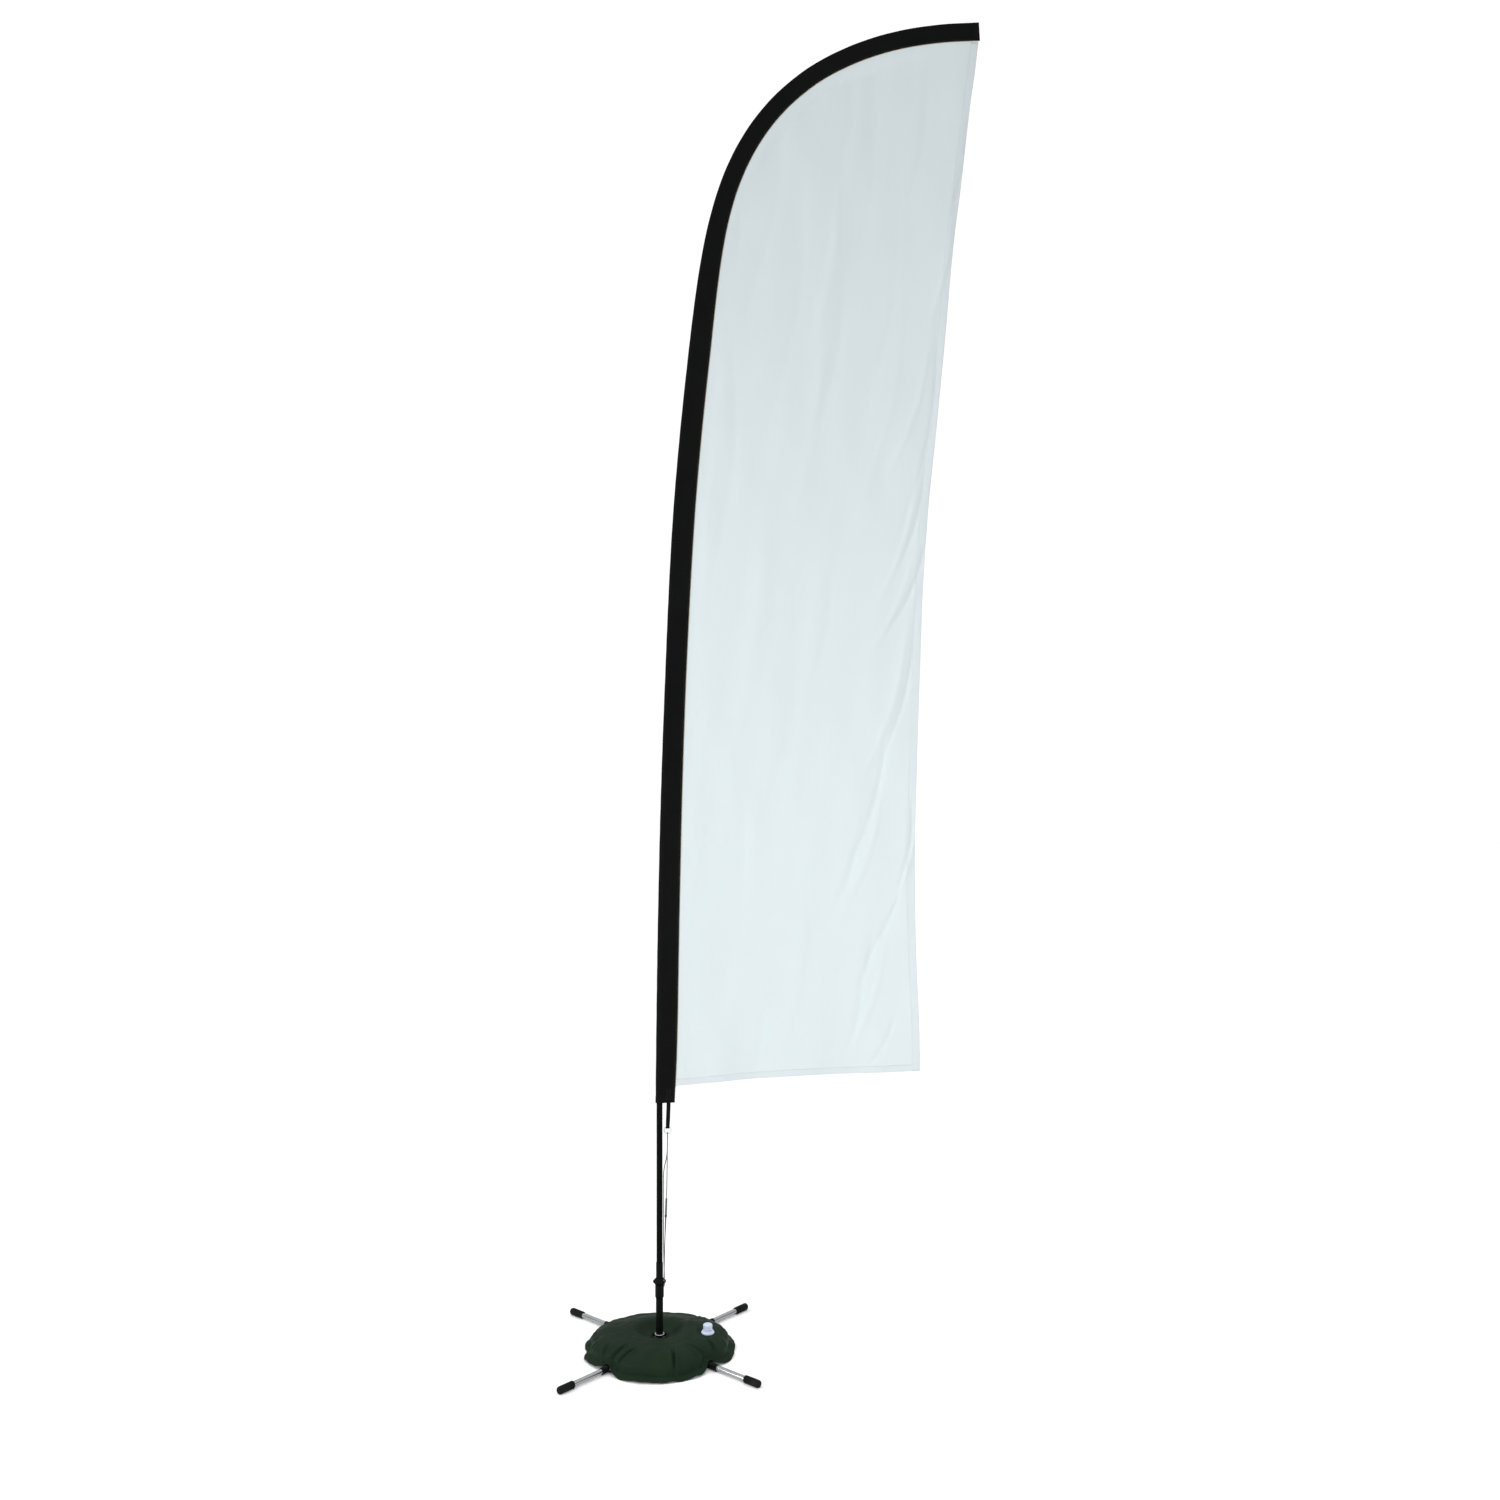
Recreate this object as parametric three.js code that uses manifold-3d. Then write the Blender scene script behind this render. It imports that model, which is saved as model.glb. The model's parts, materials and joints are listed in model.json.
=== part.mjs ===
// Feather flag: a curved tapering pole in a sewn sleeve with its sail, a tension cord,
// a ball-bearing rotor on a folding cross base, and a ring-shaped water bag.
// Millimetres, +Z up. The origin is on the rotor's axis at ground level, and the sail
// lies in the plane Y = 0, towards +X.
import * as THREE from "three";
import { mergeVertices } from "three/addons/utils/BufferGeometryUtils.js";
import Module from "manifold-3d";

const wasm = await Module();
wasm.setup();

// ---------------------------------------------------------------- driving dimensions
const GAP = 0.3; // between pieces that touch

const BASE_YAW = 4; // degrees, of the cross against the sail's plane
const LEG_END = 455; // from the axis to the end of a foot cap
const LEG_Z = 12; // height of the leg tubes' axes
const LEG_R = 8.8; // leg tube
const LEG_BORE = 7.6;
const SOCKET_R = 10.8;
const SOCKET_FROM = 64;
const SOCKET_TO = 272;
const CAP_LEN = 62;
const FOOT_CAP_R = 12.4;
const PLATE_T = 5.7;
const LOWER_Z = 6; // underside of the lower arm's plate
const UPPER_Z = LOWER_Z + PLATE_T + 2 * 0.15;
const POST_R = 6; // spindle post through the hub
const SEAT_R = 5; // its bearing seat
const HUB_BORE = 6.45;

const ROTOR_R = 12.5;
const ROTOR_BORE = 10.6;
const ROTOR_Z = [57.3, 174.3];
const SPIGOT_R = 8;
const SPIGOT_TOP = 330;
const BEARING_Z = [70, 150]; // undersides of the two bearings
const BEARING_T = 6;

const POLE_FOOT_Z = 175; // the pole's lower end, on the rotor's shoulder
// the pole's axis above its foot, as [x, z]
const MAST_AXIS = [
  [0, 175], [0, 330], [0, 500], [0, 680], [0.1, 849], [2.9, 1140], [6.9, 1430], [11.8, 1721],
  [19.9, 2011], [30.6, 2302], [42.5, 2592], [57.5, 2882], [80.8, 3161], [110.1, 3440],
  [125.3, 3568], [141.2, 3685], [161, 3801], [187, 3916], [225.9, 4039], [274.8, 4145],
  [338.3, 4243], [416.4, 4330], [516.5, 4410], [619, 4467], [728.2, 4510.5], [841.7, 4540.5],
  [968.9, 4559.3], [1102, 4567],
];
// the four pole sections: from, to (along the axis), radius at each end, bore radius
const SECTIONS = [
  { from: 0, to: 1240, r0: 10.4, r1: 10.4, bore: 9.3 },
  { from: 1180, to: 2480, r0: 9.0, r1: 8.4, bore: 7.2 },
  { from: 2420, to: 3700, r0: 6.9, r1: 6.0, bore: 4.9 },
  { from: 3640, to: null, r0: 4.6, r1: 3.0, bore: 0 },
];
const FERRULE_LEN = 30;

const SLEEVE_FROM = 674; // along the axis: the sleeve's open lower end
const SLEEVE_WALL = 0.9;
// distance from the pole's axis to the sleeve's outer fold, and the sleeve's whole width, along the axis
const NOSE = [[674, 13.9], [1240, 13.7], [1500, 12.5], [2480, 11.9], [2700, 10.6], [3700, 9.7], [3950, 8.2], [4960, 6.4]];
const WIDTH = [[674, 65.7], [734, 69.5], [860, 73], [1000, 74.6], [1500, 74.8], [2100, 73], [2600, 75.8], [3300, 75.9], [3500, 72.5], [3650, 68.5], [3800, 65], [4000, 63.8], [4400, 62], [4960, 63]];

const SAIL_T = 1.2;
// the sail's free edges, from the tip down the leech and back along the foot, as [x, z]
const LEECH = [
  [1099, 4500], [1087, 4400], [1073, 4302], [1041, 4017], [1014, 3811], [978, 3409], [946, 3091],
  [925, 2880], [908, 2634], [899, 2375], [890, 2127], [883, 1881], [879.6, 1670], [884.4, 1371],
  [893, 1180], [897.2, 1054], [899.2, 957.5],
];
const FOOT_EDGE = [[531, 943.5], [355, 931], [144, 911]];
const SAIL_FOOT_S = 731; // where the sail's foot meets the sleeve, along the axis

const RING_AT = [27.9, 754.1]; // x, z
const RING_R = 12;
const RING_WIRE = 2;
const STRAP_W = 14;
const STRAP_T = 1.2;
const CORD_R = 1.5;
const CORD_HOLE_AT = 18.6; // radius of the flange's cord holes
const CORD_HOLE_DEG = 30;

const BAG_R = 259;
const BAG_HOLE_R = 26;
const BAG_Z = 23.2; // underside, just above the sockets
const VALVE_AT = [167, -20];
const VALVE_SEAT_Z = 62;

// ---------------------------------------------------------------- materials
const mat = (color, roughness, metalness = 0) =>
  new THREE.MeshStandardMaterial({ color, roughness, metalness });
const M = {
  sail: mat(0xdfe7e9, 0.8),
  sleeve: mat(0x121212, 0.85),
  webbing: mat(0x151515, 0.8),
  ring: mat(0xe9ebe8, 0.35),
  cord: mat(0x8b8f8a, 0.8),
  slider: mat(0x59635a, 0.5),
  pole: mat(0x0e0f10, 0.35),
  ferrule: mat(0x2b2c2e, 0.4, 0.8),
  blackPlastic: mat(0x17181a, 0.5),
  powderCoat: mat(0x131415, 0.55, 0.3),
  steel: mat(0x9a9da0, 0.35, 1),
  chrome: mat(0xd9dcde, 0.12, 1),
  rubber: mat(0x101010, 0.85),
  bag: mat(0x2b352d, 0.6),
  whitePlastic: mat(0xe8ebf2, 0.35),
};

// ---------------------------------------------------------------- shape helpers
const V2 = (x, y) => new THREE.Vector2(x, y);

// A closed three.js geometry as a solid that can be joined and cut.
function solid(geometry) {
  const g = geometry.index ? geometry.toNonIndexed() : geometry.clone();
  g.deleteAttribute("normal");
  g.deleteAttribute("uv");
  const m = mergeVertices(g, 1e-3);
  const p = m.attributes.position.array;
  const tris = [];
  const ix = m.index.array;
  for (let i = 0; i < ix.length; i += 3) {
    const [a, b, c] = [ix[i], ix[i + 1], ix[i + 2]];
    if (a !== b && b !== c && a !== c) tris.push(a, b, c);
  }
  const make = (t) =>
    new wasm.Manifold(
      new wasm.Mesh({ numProp: 3, vertProperties: new Float32Array(p), triVerts: new Uint32Array(t) }),
    );
  let s = make(tris);
  if (s.volume() < 0) {
    for (let i = 0; i < tris.length; i += 3) [tris[i + 1], tris[i + 2]] = [tris[i + 2], tris[i + 1]];
    s = make(tris);
  }
  return s;
}

function geometryOf(s) {
  const m = s.getMesh();
  const n = m.numProp;
  const v = new Float32Array(m.numVert * 3);
  for (let i = 0; i < m.numVert; i++) v.set(m.vertProperties.subarray(i * n, i * n + 3), i * 3);
  const g = new THREE.BufferGeometry()
    .setAttribute("position", new THREE.BufferAttribute(v, 3))
    .setIndex(new THREE.BufferAttribute(new Uint32Array(m.triVerts), 1));
  g.computeVertexNormals();
  return g;
}

const asSolid = (x) => (x instanceof THREE.BufferGeometry ? solid(x) : x);
const join = (...xs) => xs.map(asSolid).reduce((a, b) => a.add(b));
const cut = (x, ...tools) => tools.map(asSolid).reduce((a, b) => a.subtract(b), asSolid(x));

// A turned piece about +Z from a profile of [radius, z].
const lathe = (profile, segments = 24) =>
  new THREE.LatheGeometry(profile.map(([r, z]) => V2(r, z)), segments).rotateX(Math.PI / 2);
// A turned ring: the profile closes on itself.
const tube = (rIn, rOut, z0, z1, segments = 24) =>
  lathe([[rIn, z0], [rOut, z0], [rOut, z1], [rIn, z1], [rIn, z0]], segments);
const rod = (r, z0, z1, segments = 24) => lathe([[0, z0], [r, z0], [r, z1], [0, z1]], segments);
const hex = (acrossFlats, z0, z1) =>
  new THREE.CylinderGeometry(acrossFlats / Math.sqrt(3), acrossFlats / Math.sqrt(3), z1 - z0, 6)
    .rotateX(Math.PI / 2)
    .translate(0, 0, (z0 + z1) / 2);
const alongX = (geometry) => geometry.rotateY(Math.PI / 2);

const law = (table) => (s) => {
  if (s <= table[0][0]) return table[0][1];
  for (let i = 1; i < table.length; i++)
    if (s <= table[i][0]) {
      const [[a, u], [b, v]] = [table[i - 1], table[i]];
      return u + ((v - u) * (s - a)) / (b - a);
    }
  return table[table.length - 1][1];
};

// ---------------------------------------------------------------- the pole's axis
const mastCurve = new THREE.CatmullRomCurve3(
  MAST_AXIS.map(([x, z]) => new THREE.Vector3(x, 0, z)),
  false,
  "centripetal",
);
mastCurve.arcLengthDivisions = 1200;
const MAST_LEN = mastCurve.getLength();

// A point s along the axis, n towards the sail and b across it.
function onMast(s, n, b) {
  const u = Math.min(Math.max(s / MAST_LEN, 0), 1);
  const p = mastCurve.getPointAt(u);
  const t = mastCurve.getTangentAt(u);
  const over = s - u * MAST_LEN;
  return new THREE.Vector3(p.x + t.z * n + t.x * over, b, p.z - t.x * n + t.z * over);
}

// Bends a straight piece whose z is the distance along the axis onto the curved mast.
function bend(geometry) {
  const p = geometry.attributes.position;
  for (let i = 0; i < p.count; i++) {
    const q = onMast(p.getZ(i), p.getX(i), p.getY(i));
    p.setXYZ(i, q.x, q.y, q.z);
  }
  return geometry;
}

// Stations along the axis, closer together where it bends more.
function stations(from, to) {
  const out = [from];
  for (;;) {
    const s = out[out.length - 1];
    const step = s < 2000 ? 300 : s < 3200 ? 160 : s < 3500 ? 100 : 62;
    if (s + 1.4 * step >= to) break;
    out.push(s + step);
  }
  out.push(to);
  return out;
}

// A tapering tube or rod, bent onto the mast.
function poleSection({ from, to, r0, r1, bore }, segments) {
  const st = stations(from, to);
  const r = (s) => r0 + ((r1 - r0) * (s - from)) / (to - from);
  const outer = st.map((s) => [r(s), s]);
  const inner = bore ? st.map((s) => [bore, s]).reverse() : [[0, to]];
  const start = bore ? [] : [[0, from]];
  const profile = [...start, ...outer, ...inner];
  if (bore) profile.push(profile[0]);
  return bend(lathe(profile, segments));
}

// ---------------------------------------------------------------- scene graph
const flag = new THREE.Group();
flag.name = "feather_flag";
const base = new THREE.Group();
const rotor = new THREE.Group();
const mast = new THREE.Group();
const bagGroup = new THREE.Group();
flag.add(base, rotor, mast, bagGroup);

function put(name, shape, material, parent) {
  const s = asSolid(shape);
  const mesh = new THREE.Mesh(geometryOf(s), material);
  mesh.name = name;
  parent.add(mesh);
  return mesh;
}

// ---------------------------------------------------------------- pole
SECTIONS[3].to = MAST_LEN - 7.6;
const SEGMENTS = [16, 14, 12, 10];
SECTIONS.forEach((section, i) =>
  put(`pole_section_${i + 1}`, poleSection(section, SEGMENTS[i]), M.pole, mast),
);
SECTIONS.slice(0, 3).forEach(({ to, r1 }, i) => {
  const a = to - FERRULE_LEN + 2;
  const ri = r1 + GAP + 0.15;
  put(`pole_ferrule_${i + 1}`, bend(tube(ri, ri + 0.8, a, to + 2, 16)), M.ferrule, mast);
});
put("pole_foot_ferrule", tube(10.75, 12.1, 246.6, 299, 20), M.blackPlastic, mast);

// the tip: a rubber cap on the rod, in a webbing pocket inside the sleeve's end
put(
  "pole_tip_cap",
  bend(
    lathe(
      [[0, MAST_LEN - 7.2], [3.3, MAST_LEN - 7.2], [3.3, MAST_LEN - 32], [3.9, MAST_LEN - 32],
       [3.9, MAST_LEN - 5.4], [3.2, MAST_LEN - 4.7], [0, MAST_LEN - 4.7]], 12),
  ),
  M.rubber,
  mast,
);
put(
  "tip_pocket",
  bend(
    lathe(
      [[0, MAST_LEN - 4.2], [4.25, MAST_LEN - 4.2], [4.25, MAST_LEN - 48], [4.75, MAST_LEN - 48],
       [4.75, MAST_LEN - 3.1], [0, MAST_LEN - 3.1]], 12),
  ),
  M.webbing,
  mast,
);

// collar with its flange, and the two cord holes
const holeAt = (sign) => {
  const a = (sign * CORD_HOLE_DEG * Math.PI) / 180;
  return [CORD_HOLE_AT * Math.cos(a), CORD_HOLE_AT * Math.sin(a)];
};
const collar = lathe(
  [[10.75, 174.8], [12.4, 174.8], [15, 181.7], [15, 223], [22.4, 230.5], [22.4, 235.5],
   [12.4, 246], [10.75, 246], [10.75, 174.8]], 28);
put(
  "pole_collar",
  cut(
    collar,
    ...[-1, 1].map((k) => {
      const [x, y] = holeAt(k);
      return rod(2.2, 215, 255, 10).translate(x, y, 0);
    }),
  ),
  M.blackPlastic,
  mast,
);

// ---------------------------------------------------------------- sleeve
const nose = law(NOSE);
const width = law(WIDTH);
// A teardrop in a unit frame: x < 0 is the round fold over the pole, x > 0 runs to the seam.
function teardrop(taper, seamHalf) {
  const pts = [];
  const K = 6;
  for (let i = 0; i <= K; i++) {
    const a = Math.PI / 2 + (Math.PI * i) / K;
    pts.push(V2(Math.cos(a), Math.sin(a)));
  }
  const side = [[0.35, 0.72 - taper], [0.7, 0.4 - taper], [1, seamHalf]];
  side.forEach(([x, y]) => pts.push(V2(x, -y)));
  side.reverse().forEach(([x, y]) => pts.push(V2(x, y)));
  return new THREE.Shape(pts);
}
function sleeveSolid(shape, st, off, seamOff) {
  const g = new THREE.ExtrudeGeometry(shape, { depth: 1, steps: st.length - 1, bevelEnabled: false });
  const p = g.attributes.position;
  for (let i = 0; i < p.count; i++) {
    const s = st[Math.round(p.getZ(i) * (st.length - 1))];
    const a = nose(s) - off;
    const w = width(s) - nose(s) - seamOff;
    const x = p.getX(i);
    p.setXYZ(i, x < 1e-6 ? x * a : x * w, p.getY(i) * a, s);
  }
  return solid(bend(g));
}
const sleeveStations = stations(SLEEVE_FROM, MAST_LEN);
sleeveStations.splice(1, 0, SLEEVE_FROM + 60, SLEEVE_FROM + 170);
const innerStations = [SLEEVE_FROM - 5, ...sleeveStations.slice(1, -1), MAST_LEN - 2.5];
put(
  "pole_sleeve",
  sleeveSolid(teardrop(0, 0.14), sleeveStations, 0, 0).subtract(
    sleeveSolid(teardrop(0.03, 0.05), innerStations, SLEEVE_WALL, 1.8),
  ),
  M.sleeve,
  mast,
);

// ---------------------------------------------------------------- sail
// Its luff follows the sleeve's seam, a little off it, with the seam's own corners.
const seam = (s) => onMast(s, width(s) - nose(s) + 0.45, 0);
const luff = [];
for (let i = 1; i < sleeveStations.length; i++) {
  const [a, b] = [sleeveStations[i - 1], sleeveStations[i]];
  if (a < SAIL_FOOT_S && b > SAIL_FOOT_S)
    luff.push(seam(a).lerp(seam(b), (SAIL_FOOT_S - a) / (b - a)));
  if (b > SAIL_FOOT_S) luff.push(seam(b));
}
const sailOutline = [
  ...luff.map((q) => V2(q.x, q.z)),
  ...LEECH.map(([x, z]) => V2(x, z)),
  ...FOOT_EDGE.map(([x, z]) => V2(x, z)),
];
put(
  "sail",
  new THREE.ExtrudeGeometry(new THREE.Shape(sailOutline), {
    depth: SAIL_T,
    steps: 1,
    bevelEnabled: false,
  })
    .rotateX(Math.PI / 2)
    .translate(0, SAIL_T / 2, 0),
  M.sail,
  mast,
);

// ---------------------------------------------------------------- strap, ring and cord
// A webbing loop: down inside the sleeve's mouth, round the ring's upper bar and back up.
const STRAP_PATH = [];
const strapSide = [[1.5, 905], [1.5, 870], [1.6, 842], [2.6, 805], [3.4, 780], [3.4, 765]];
strapSide.forEach(([y, z]) => STRAP_PATH.push([-y, z]));
for (let i = 1; i < 6; i++) {
  const a = Math.PI + (Math.PI * i) / 6;
  STRAP_PATH.push([3.4 * Math.cos(a), 763.2 + 3.4 * Math.sin(a)]);
}
strapSide.reverse().forEach(([y, z]) => STRAP_PATH.push([y, z]));
const strapX = law([[754, 27.9], [843, 31.2], [905, 32.6]]);
{
  const n = STRAP_PATH.length;
  const g = new THREE.BoxGeometry(STRAP_W, STRAP_T, n - 1, 1, 1, n - 1).translate(0, 0, (n - 1) / 2);
  const p = g.attributes.position;
  for (let i = 0; i < p.count; i++) {
    const k = Math.round(p.getZ(i));
    const at = STRAP_PATH[k];
    const before = STRAP_PATH[Math.max(k - 1, 0)];
    const after = STRAP_PATH[Math.min(k + 1, n - 1)];
    const t = V2(after[0] - before[0], after[1] - before[1]).normalize();
    const y = p.getY(i);
    p.setXYZ(i, strapX(at[1]) + p.getX(i), at[0] - t.y * y, at[1] + t.x * y);
  }
  put("tension_strap", g, M.webbing, mast);
}
put(
  "strap_ring",
  new THREE.TorusGeometry(RING_R, RING_WIRE, 8, 24).rotateX(Math.PI / 2).translate(RING_AT[0], 0, RING_AT[1]),
  M.ring,
  mast,
);

// The cord: up from one flange hole, through the slider, over the ring's lower bar, and
// back down beside the pole to the other hole. Denser points round the ring.
const [holeA, holeB] = [holeAt(-1), holeAt(1)];
const barZ = RING_AT[1] - RING_R;
const CORD_ROUTE = [
  [holeA[0], holeA[1], 226], [holeA[0], holeA[1], 238], [holeA[0], holeA[1] + 0.4, 250],
  [17.1, -8, 300], [18.4, -7, 360], [20.6, -6, 420],
  [22.0, -5.4, 460], [23.2, -4.9, 495], [24.4, -4.4, 530], [25.4, -4.0, 560], [26.4, -3.9, 620],
  [27.1, -3.9, 680], [27.7, -3.9, 725],
  [27.9, -3.9, barZ - 1], [27.9, -2.9, barZ + 2.3], [27.9, -1.2, barZ + 3.9],
  [27.9, 1.2, barZ + 3.9], [27.9, 2.9, barZ + 2.3], [27.9, 3.9, barZ - 1],
  [27.6, 3.9, 725], [26.8, 3.9, 690], [24.2, 3.7, 660], [17.9, 3.2, 632], [13.9, 3.0, 606],
  [13.0, 3.4, 560], [13.0, 4.0, 480], [13.4, 5.0, 400], [14.2, 6.6, 320],
  [holeB[0], holeB[1] - 0.4, 250], [holeB[0], holeB[1], 238], [holeB[0], holeB[1], 226],
];
class PointwiseCurve extends THREE.CatmullRomCurve3 {
  getPointAt(u, target) {
    return this.getPoint(u, target);
  }
  getTangentAt(u, target) {
    return this.getTangent(u, target);
  }
  getSpacedPoints(n) {
    return this.getPoints(n);
  }
}
const cordCurve = new PointwiseCurve(
  CORD_ROUTE.map((q) => new THREE.Vector3(...q)),
  false,
  "centripetal",
);
const octagon = new THREE.Shape(
  Array.from({ length: 8 }, (_, i) => {
    const a = ((i + 0.5) * Math.PI) / 4;
    return V2(CORD_R * Math.cos(a), CORD_R * Math.sin(a));
  }),
);
put(
  "tension_cord",
  new THREE.ExtrudeGeometry(octagon, {
    steps: 2 * (CORD_ROUTE.length - 1),
    bevelEnabled: false,
    extrudePath: cordCurve,
  }),
  M.cord,
  mast,
);
// the slider and the knot sit on the cord's straight run
const runFrom = new THREE.Vector3(...CORD_ROUTE[6]);
const runTo = new THREE.Vector3(...CORD_ROUTE[8]);
const runDir = runTo.clone().sub(runFrom).normalize();
const onRun = (geometry) => {
  geometry.applyQuaternion(new THREE.Quaternion().setFromUnitVectors(new THREE.Vector3(0, 0, 1), runDir));
  return geometry.translate(runFrom.x, runFrom.y, runFrom.z);
};
put(
  "cord_lock",
  onRun(lathe([[2, 6], [3.1, 6], [3.7, 9], [3.7, 56], [3, 60], [2, 60], [2, 6]], 14)),
  M.slider,
  mast,
);
put("cord_knot", onRun(lathe([[1.95, -5], [3, -5], [4, -2], [4, 2], [3, 5.2], [1.95, 5.2], [1.95, -5]], 12)), M.cord, mast);
["a", "b"].forEach((k, i) => {
  const [x, y] = [holeA, holeB][i];
  const knot = new THREE.SphereGeometry(2.9, 8, 6).rotateX(Math.PI / 2).translate(x, y, 222.4);
  put(`cord_end_knot_${k}`, knot, M.cord, mast);
});

// ---------------------------------------------------------------- rotor
const groove = (z) => [[SPIGOT_R, z - 1.3], [6.7, z - 1.3], [6.7, z + 1.3], [SPIGOT_R, z + 1.3]];
const ORINGS = [235, 300];
put(
  "rotor_tube",
  lathe(
    [[ROTOR_BORE, ROTOR_Z[0]], [ROTOR_R - 0.6, ROTOR_Z[0]], [ROTOR_R, ROTOR_Z[0] + 0.8],
     [ROTOR_R, ROTOR_Z[1] - 0.8], [ROTOR_R - 0.8, ROTOR_Z[1]], [SPIGOT_R, ROTOR_Z[1]],
     ...groove(ORINGS[0]), ...groove(ORINGS[1]),
     [SPIGOT_R, SPIGOT_TOP - 6], [5.5, SPIGOT_TOP], [0, SPIGOT_TOP],
     [0, 166.5], [ROTOR_BORE, 166.5], [ROTOR_BORE, ROTOR_Z[0]]].reverse().slice(0),
    24,
  ),
  M.powderCoat,
  rotor,
);
ORINGS.forEach((z, i) =>
  put(`spigot_oring_${i + 1}`, new THREE.TorusGeometry(8.0, 0.95, 6, 20).translate(0, 0, z), M.rubber, rotor),
);
const cages = new THREE.Group();
flag.add(cages);
BEARING_Z.forEach((z, i) => {
  const k = i + 1;
  put(`bearing_outer_race_${k}`, tube(8.6, 10.25, z, z + BEARING_T, 20), M.steel, rotor);
  put(`bearing_inner_race_${k}`, tube(5.35, 6.5, z, z + BEARING_T, 20), M.steel, base);
  const balls = Array.from({ length: 7 }, (_, j) => {
    const a = (2 * Math.PI * j) / 7;
    return new THREE.OctahedronGeometry(0.85, 1).translate(7.55 * Math.cos(a), 7.55 * Math.sin(a), z + 3);
  });
  put(`bearing_ball_set_${k}`, join(tube(7.2, 7.9, z + 2.2, z + 3.8, 20), ...balls), M.steel, cages);
});
put("bearing_retaining_ring", tube(8.2, 10.25, 68, 69.6, 20), M.steel, rotor);

// ---------------------------------------------------------------- base: hub
put(
  "hub_foot",
  lathe([[0, 0], [30.5, 0], [32, 1.5], [32, LOWER_Z - GAP], [13.5, LOWER_Z - GAP], [13.5, 1.2], [0, 1.2]], 28),
  M.rubber,
  base,
);
put(
  "spindle_post",
  join(
    hex(19, 1.5, LOWER_Z - GAP),
    lathe([[0, 4], [POST_R, 4], [POST_R, 68.5], [SEAT_R, 68.5], [SEAT_R, 163.5], [SEAT_R - 1, 164.5], [0, 164.5]], 20),
  ),
  M.steel,
  base,
);
put("hub_washer", tube(HUB_BORE, 17, 18.2, 20, 24), M.steel, base);
put("hub_spacer", tube(HUB_BORE, 13.5, 20.3, 41.7, 24), M.powderCoat, base);
put(
  "lock_nut",
  lathe([[HUB_BORE, 42], [16.6, 42], [18, 43.4], [18, 52.6], [16.6, 54], [HUB_BORE, 54], [HUB_BORE, 42]], 28),
  M.chrome,
  base,
);
put("dust_seal", tube(HUB_BORE, 11.8, 54.3, 57, 24), M.rubber, base);
put("bearing_spacer", tube(5.35, 6.5, BEARING_Z[0] + BEARING_T + GAP, BEARING_Z[1] - GAP, 16), M.steel, base);
put("bearing_lock_nut", cut(hex(15, 156.3, 161.5), rod(5.35, 150, 170, 16)), M.steel, base);

// ---------------------------------------------------------------- base: arms and legs
// An arm lies along its group's X: a plate over the hub and a socket at each end.
function armShape(z) {
  const outline = new THREE.Shape();
  const R = 30, h = SOCKET_R - 0.6, a0 = Math.asin(h / R);
  outline.moveTo(-70, -h);
  outline.lineTo(-R * Math.cos(a0), -h);
  outline.absarc(0, 0, R, Math.PI + a0, 2 * Math.PI - a0, false);
  outline.lineTo(70, -h);
  outline.lineTo(70, h);
  outline.lineTo(R * Math.cos(a0), h);
  outline.absarc(0, 0, R, a0, Math.PI - a0, false);
  outline.lineTo(-70, h);
  outline.closePath();
  const plate = new THREE.ExtrudeGeometry(outline, {
    depth: PLATE_T,
    steps: 1,
    bevelEnabled: false,
    curveSegments: 10,
  }).translate(0, 0, z);
  const sides = [1, -1].map((k) => {
    const socket = alongX(rod(SOCKET_R, SOCKET_FROM, SOCKET_TO, 20)).translate(0, 0, LEG_Z);
    return k > 0 ? socket : socket.rotateZ(Math.PI);
  });
  const bores = [1, -1].map((k) => {
    const b = alongX(rod(LEG_R + GAP, SOCKET_FROM + 8, SOCKET_TO + 5, 20)).translate(0, 0, LEG_Z);
    return k > 0 ? b : b.rotateZ(Math.PI);
  });
  const rivetHoles = [1, -1].map((k) => rivetTool(k, 1.9));
  return cut(join(plate, ...sides), ...bores, rod(HUB_BORE, 0, 30, 20), ...rivetHoles);
}
const RIVET_X = 240;
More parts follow.
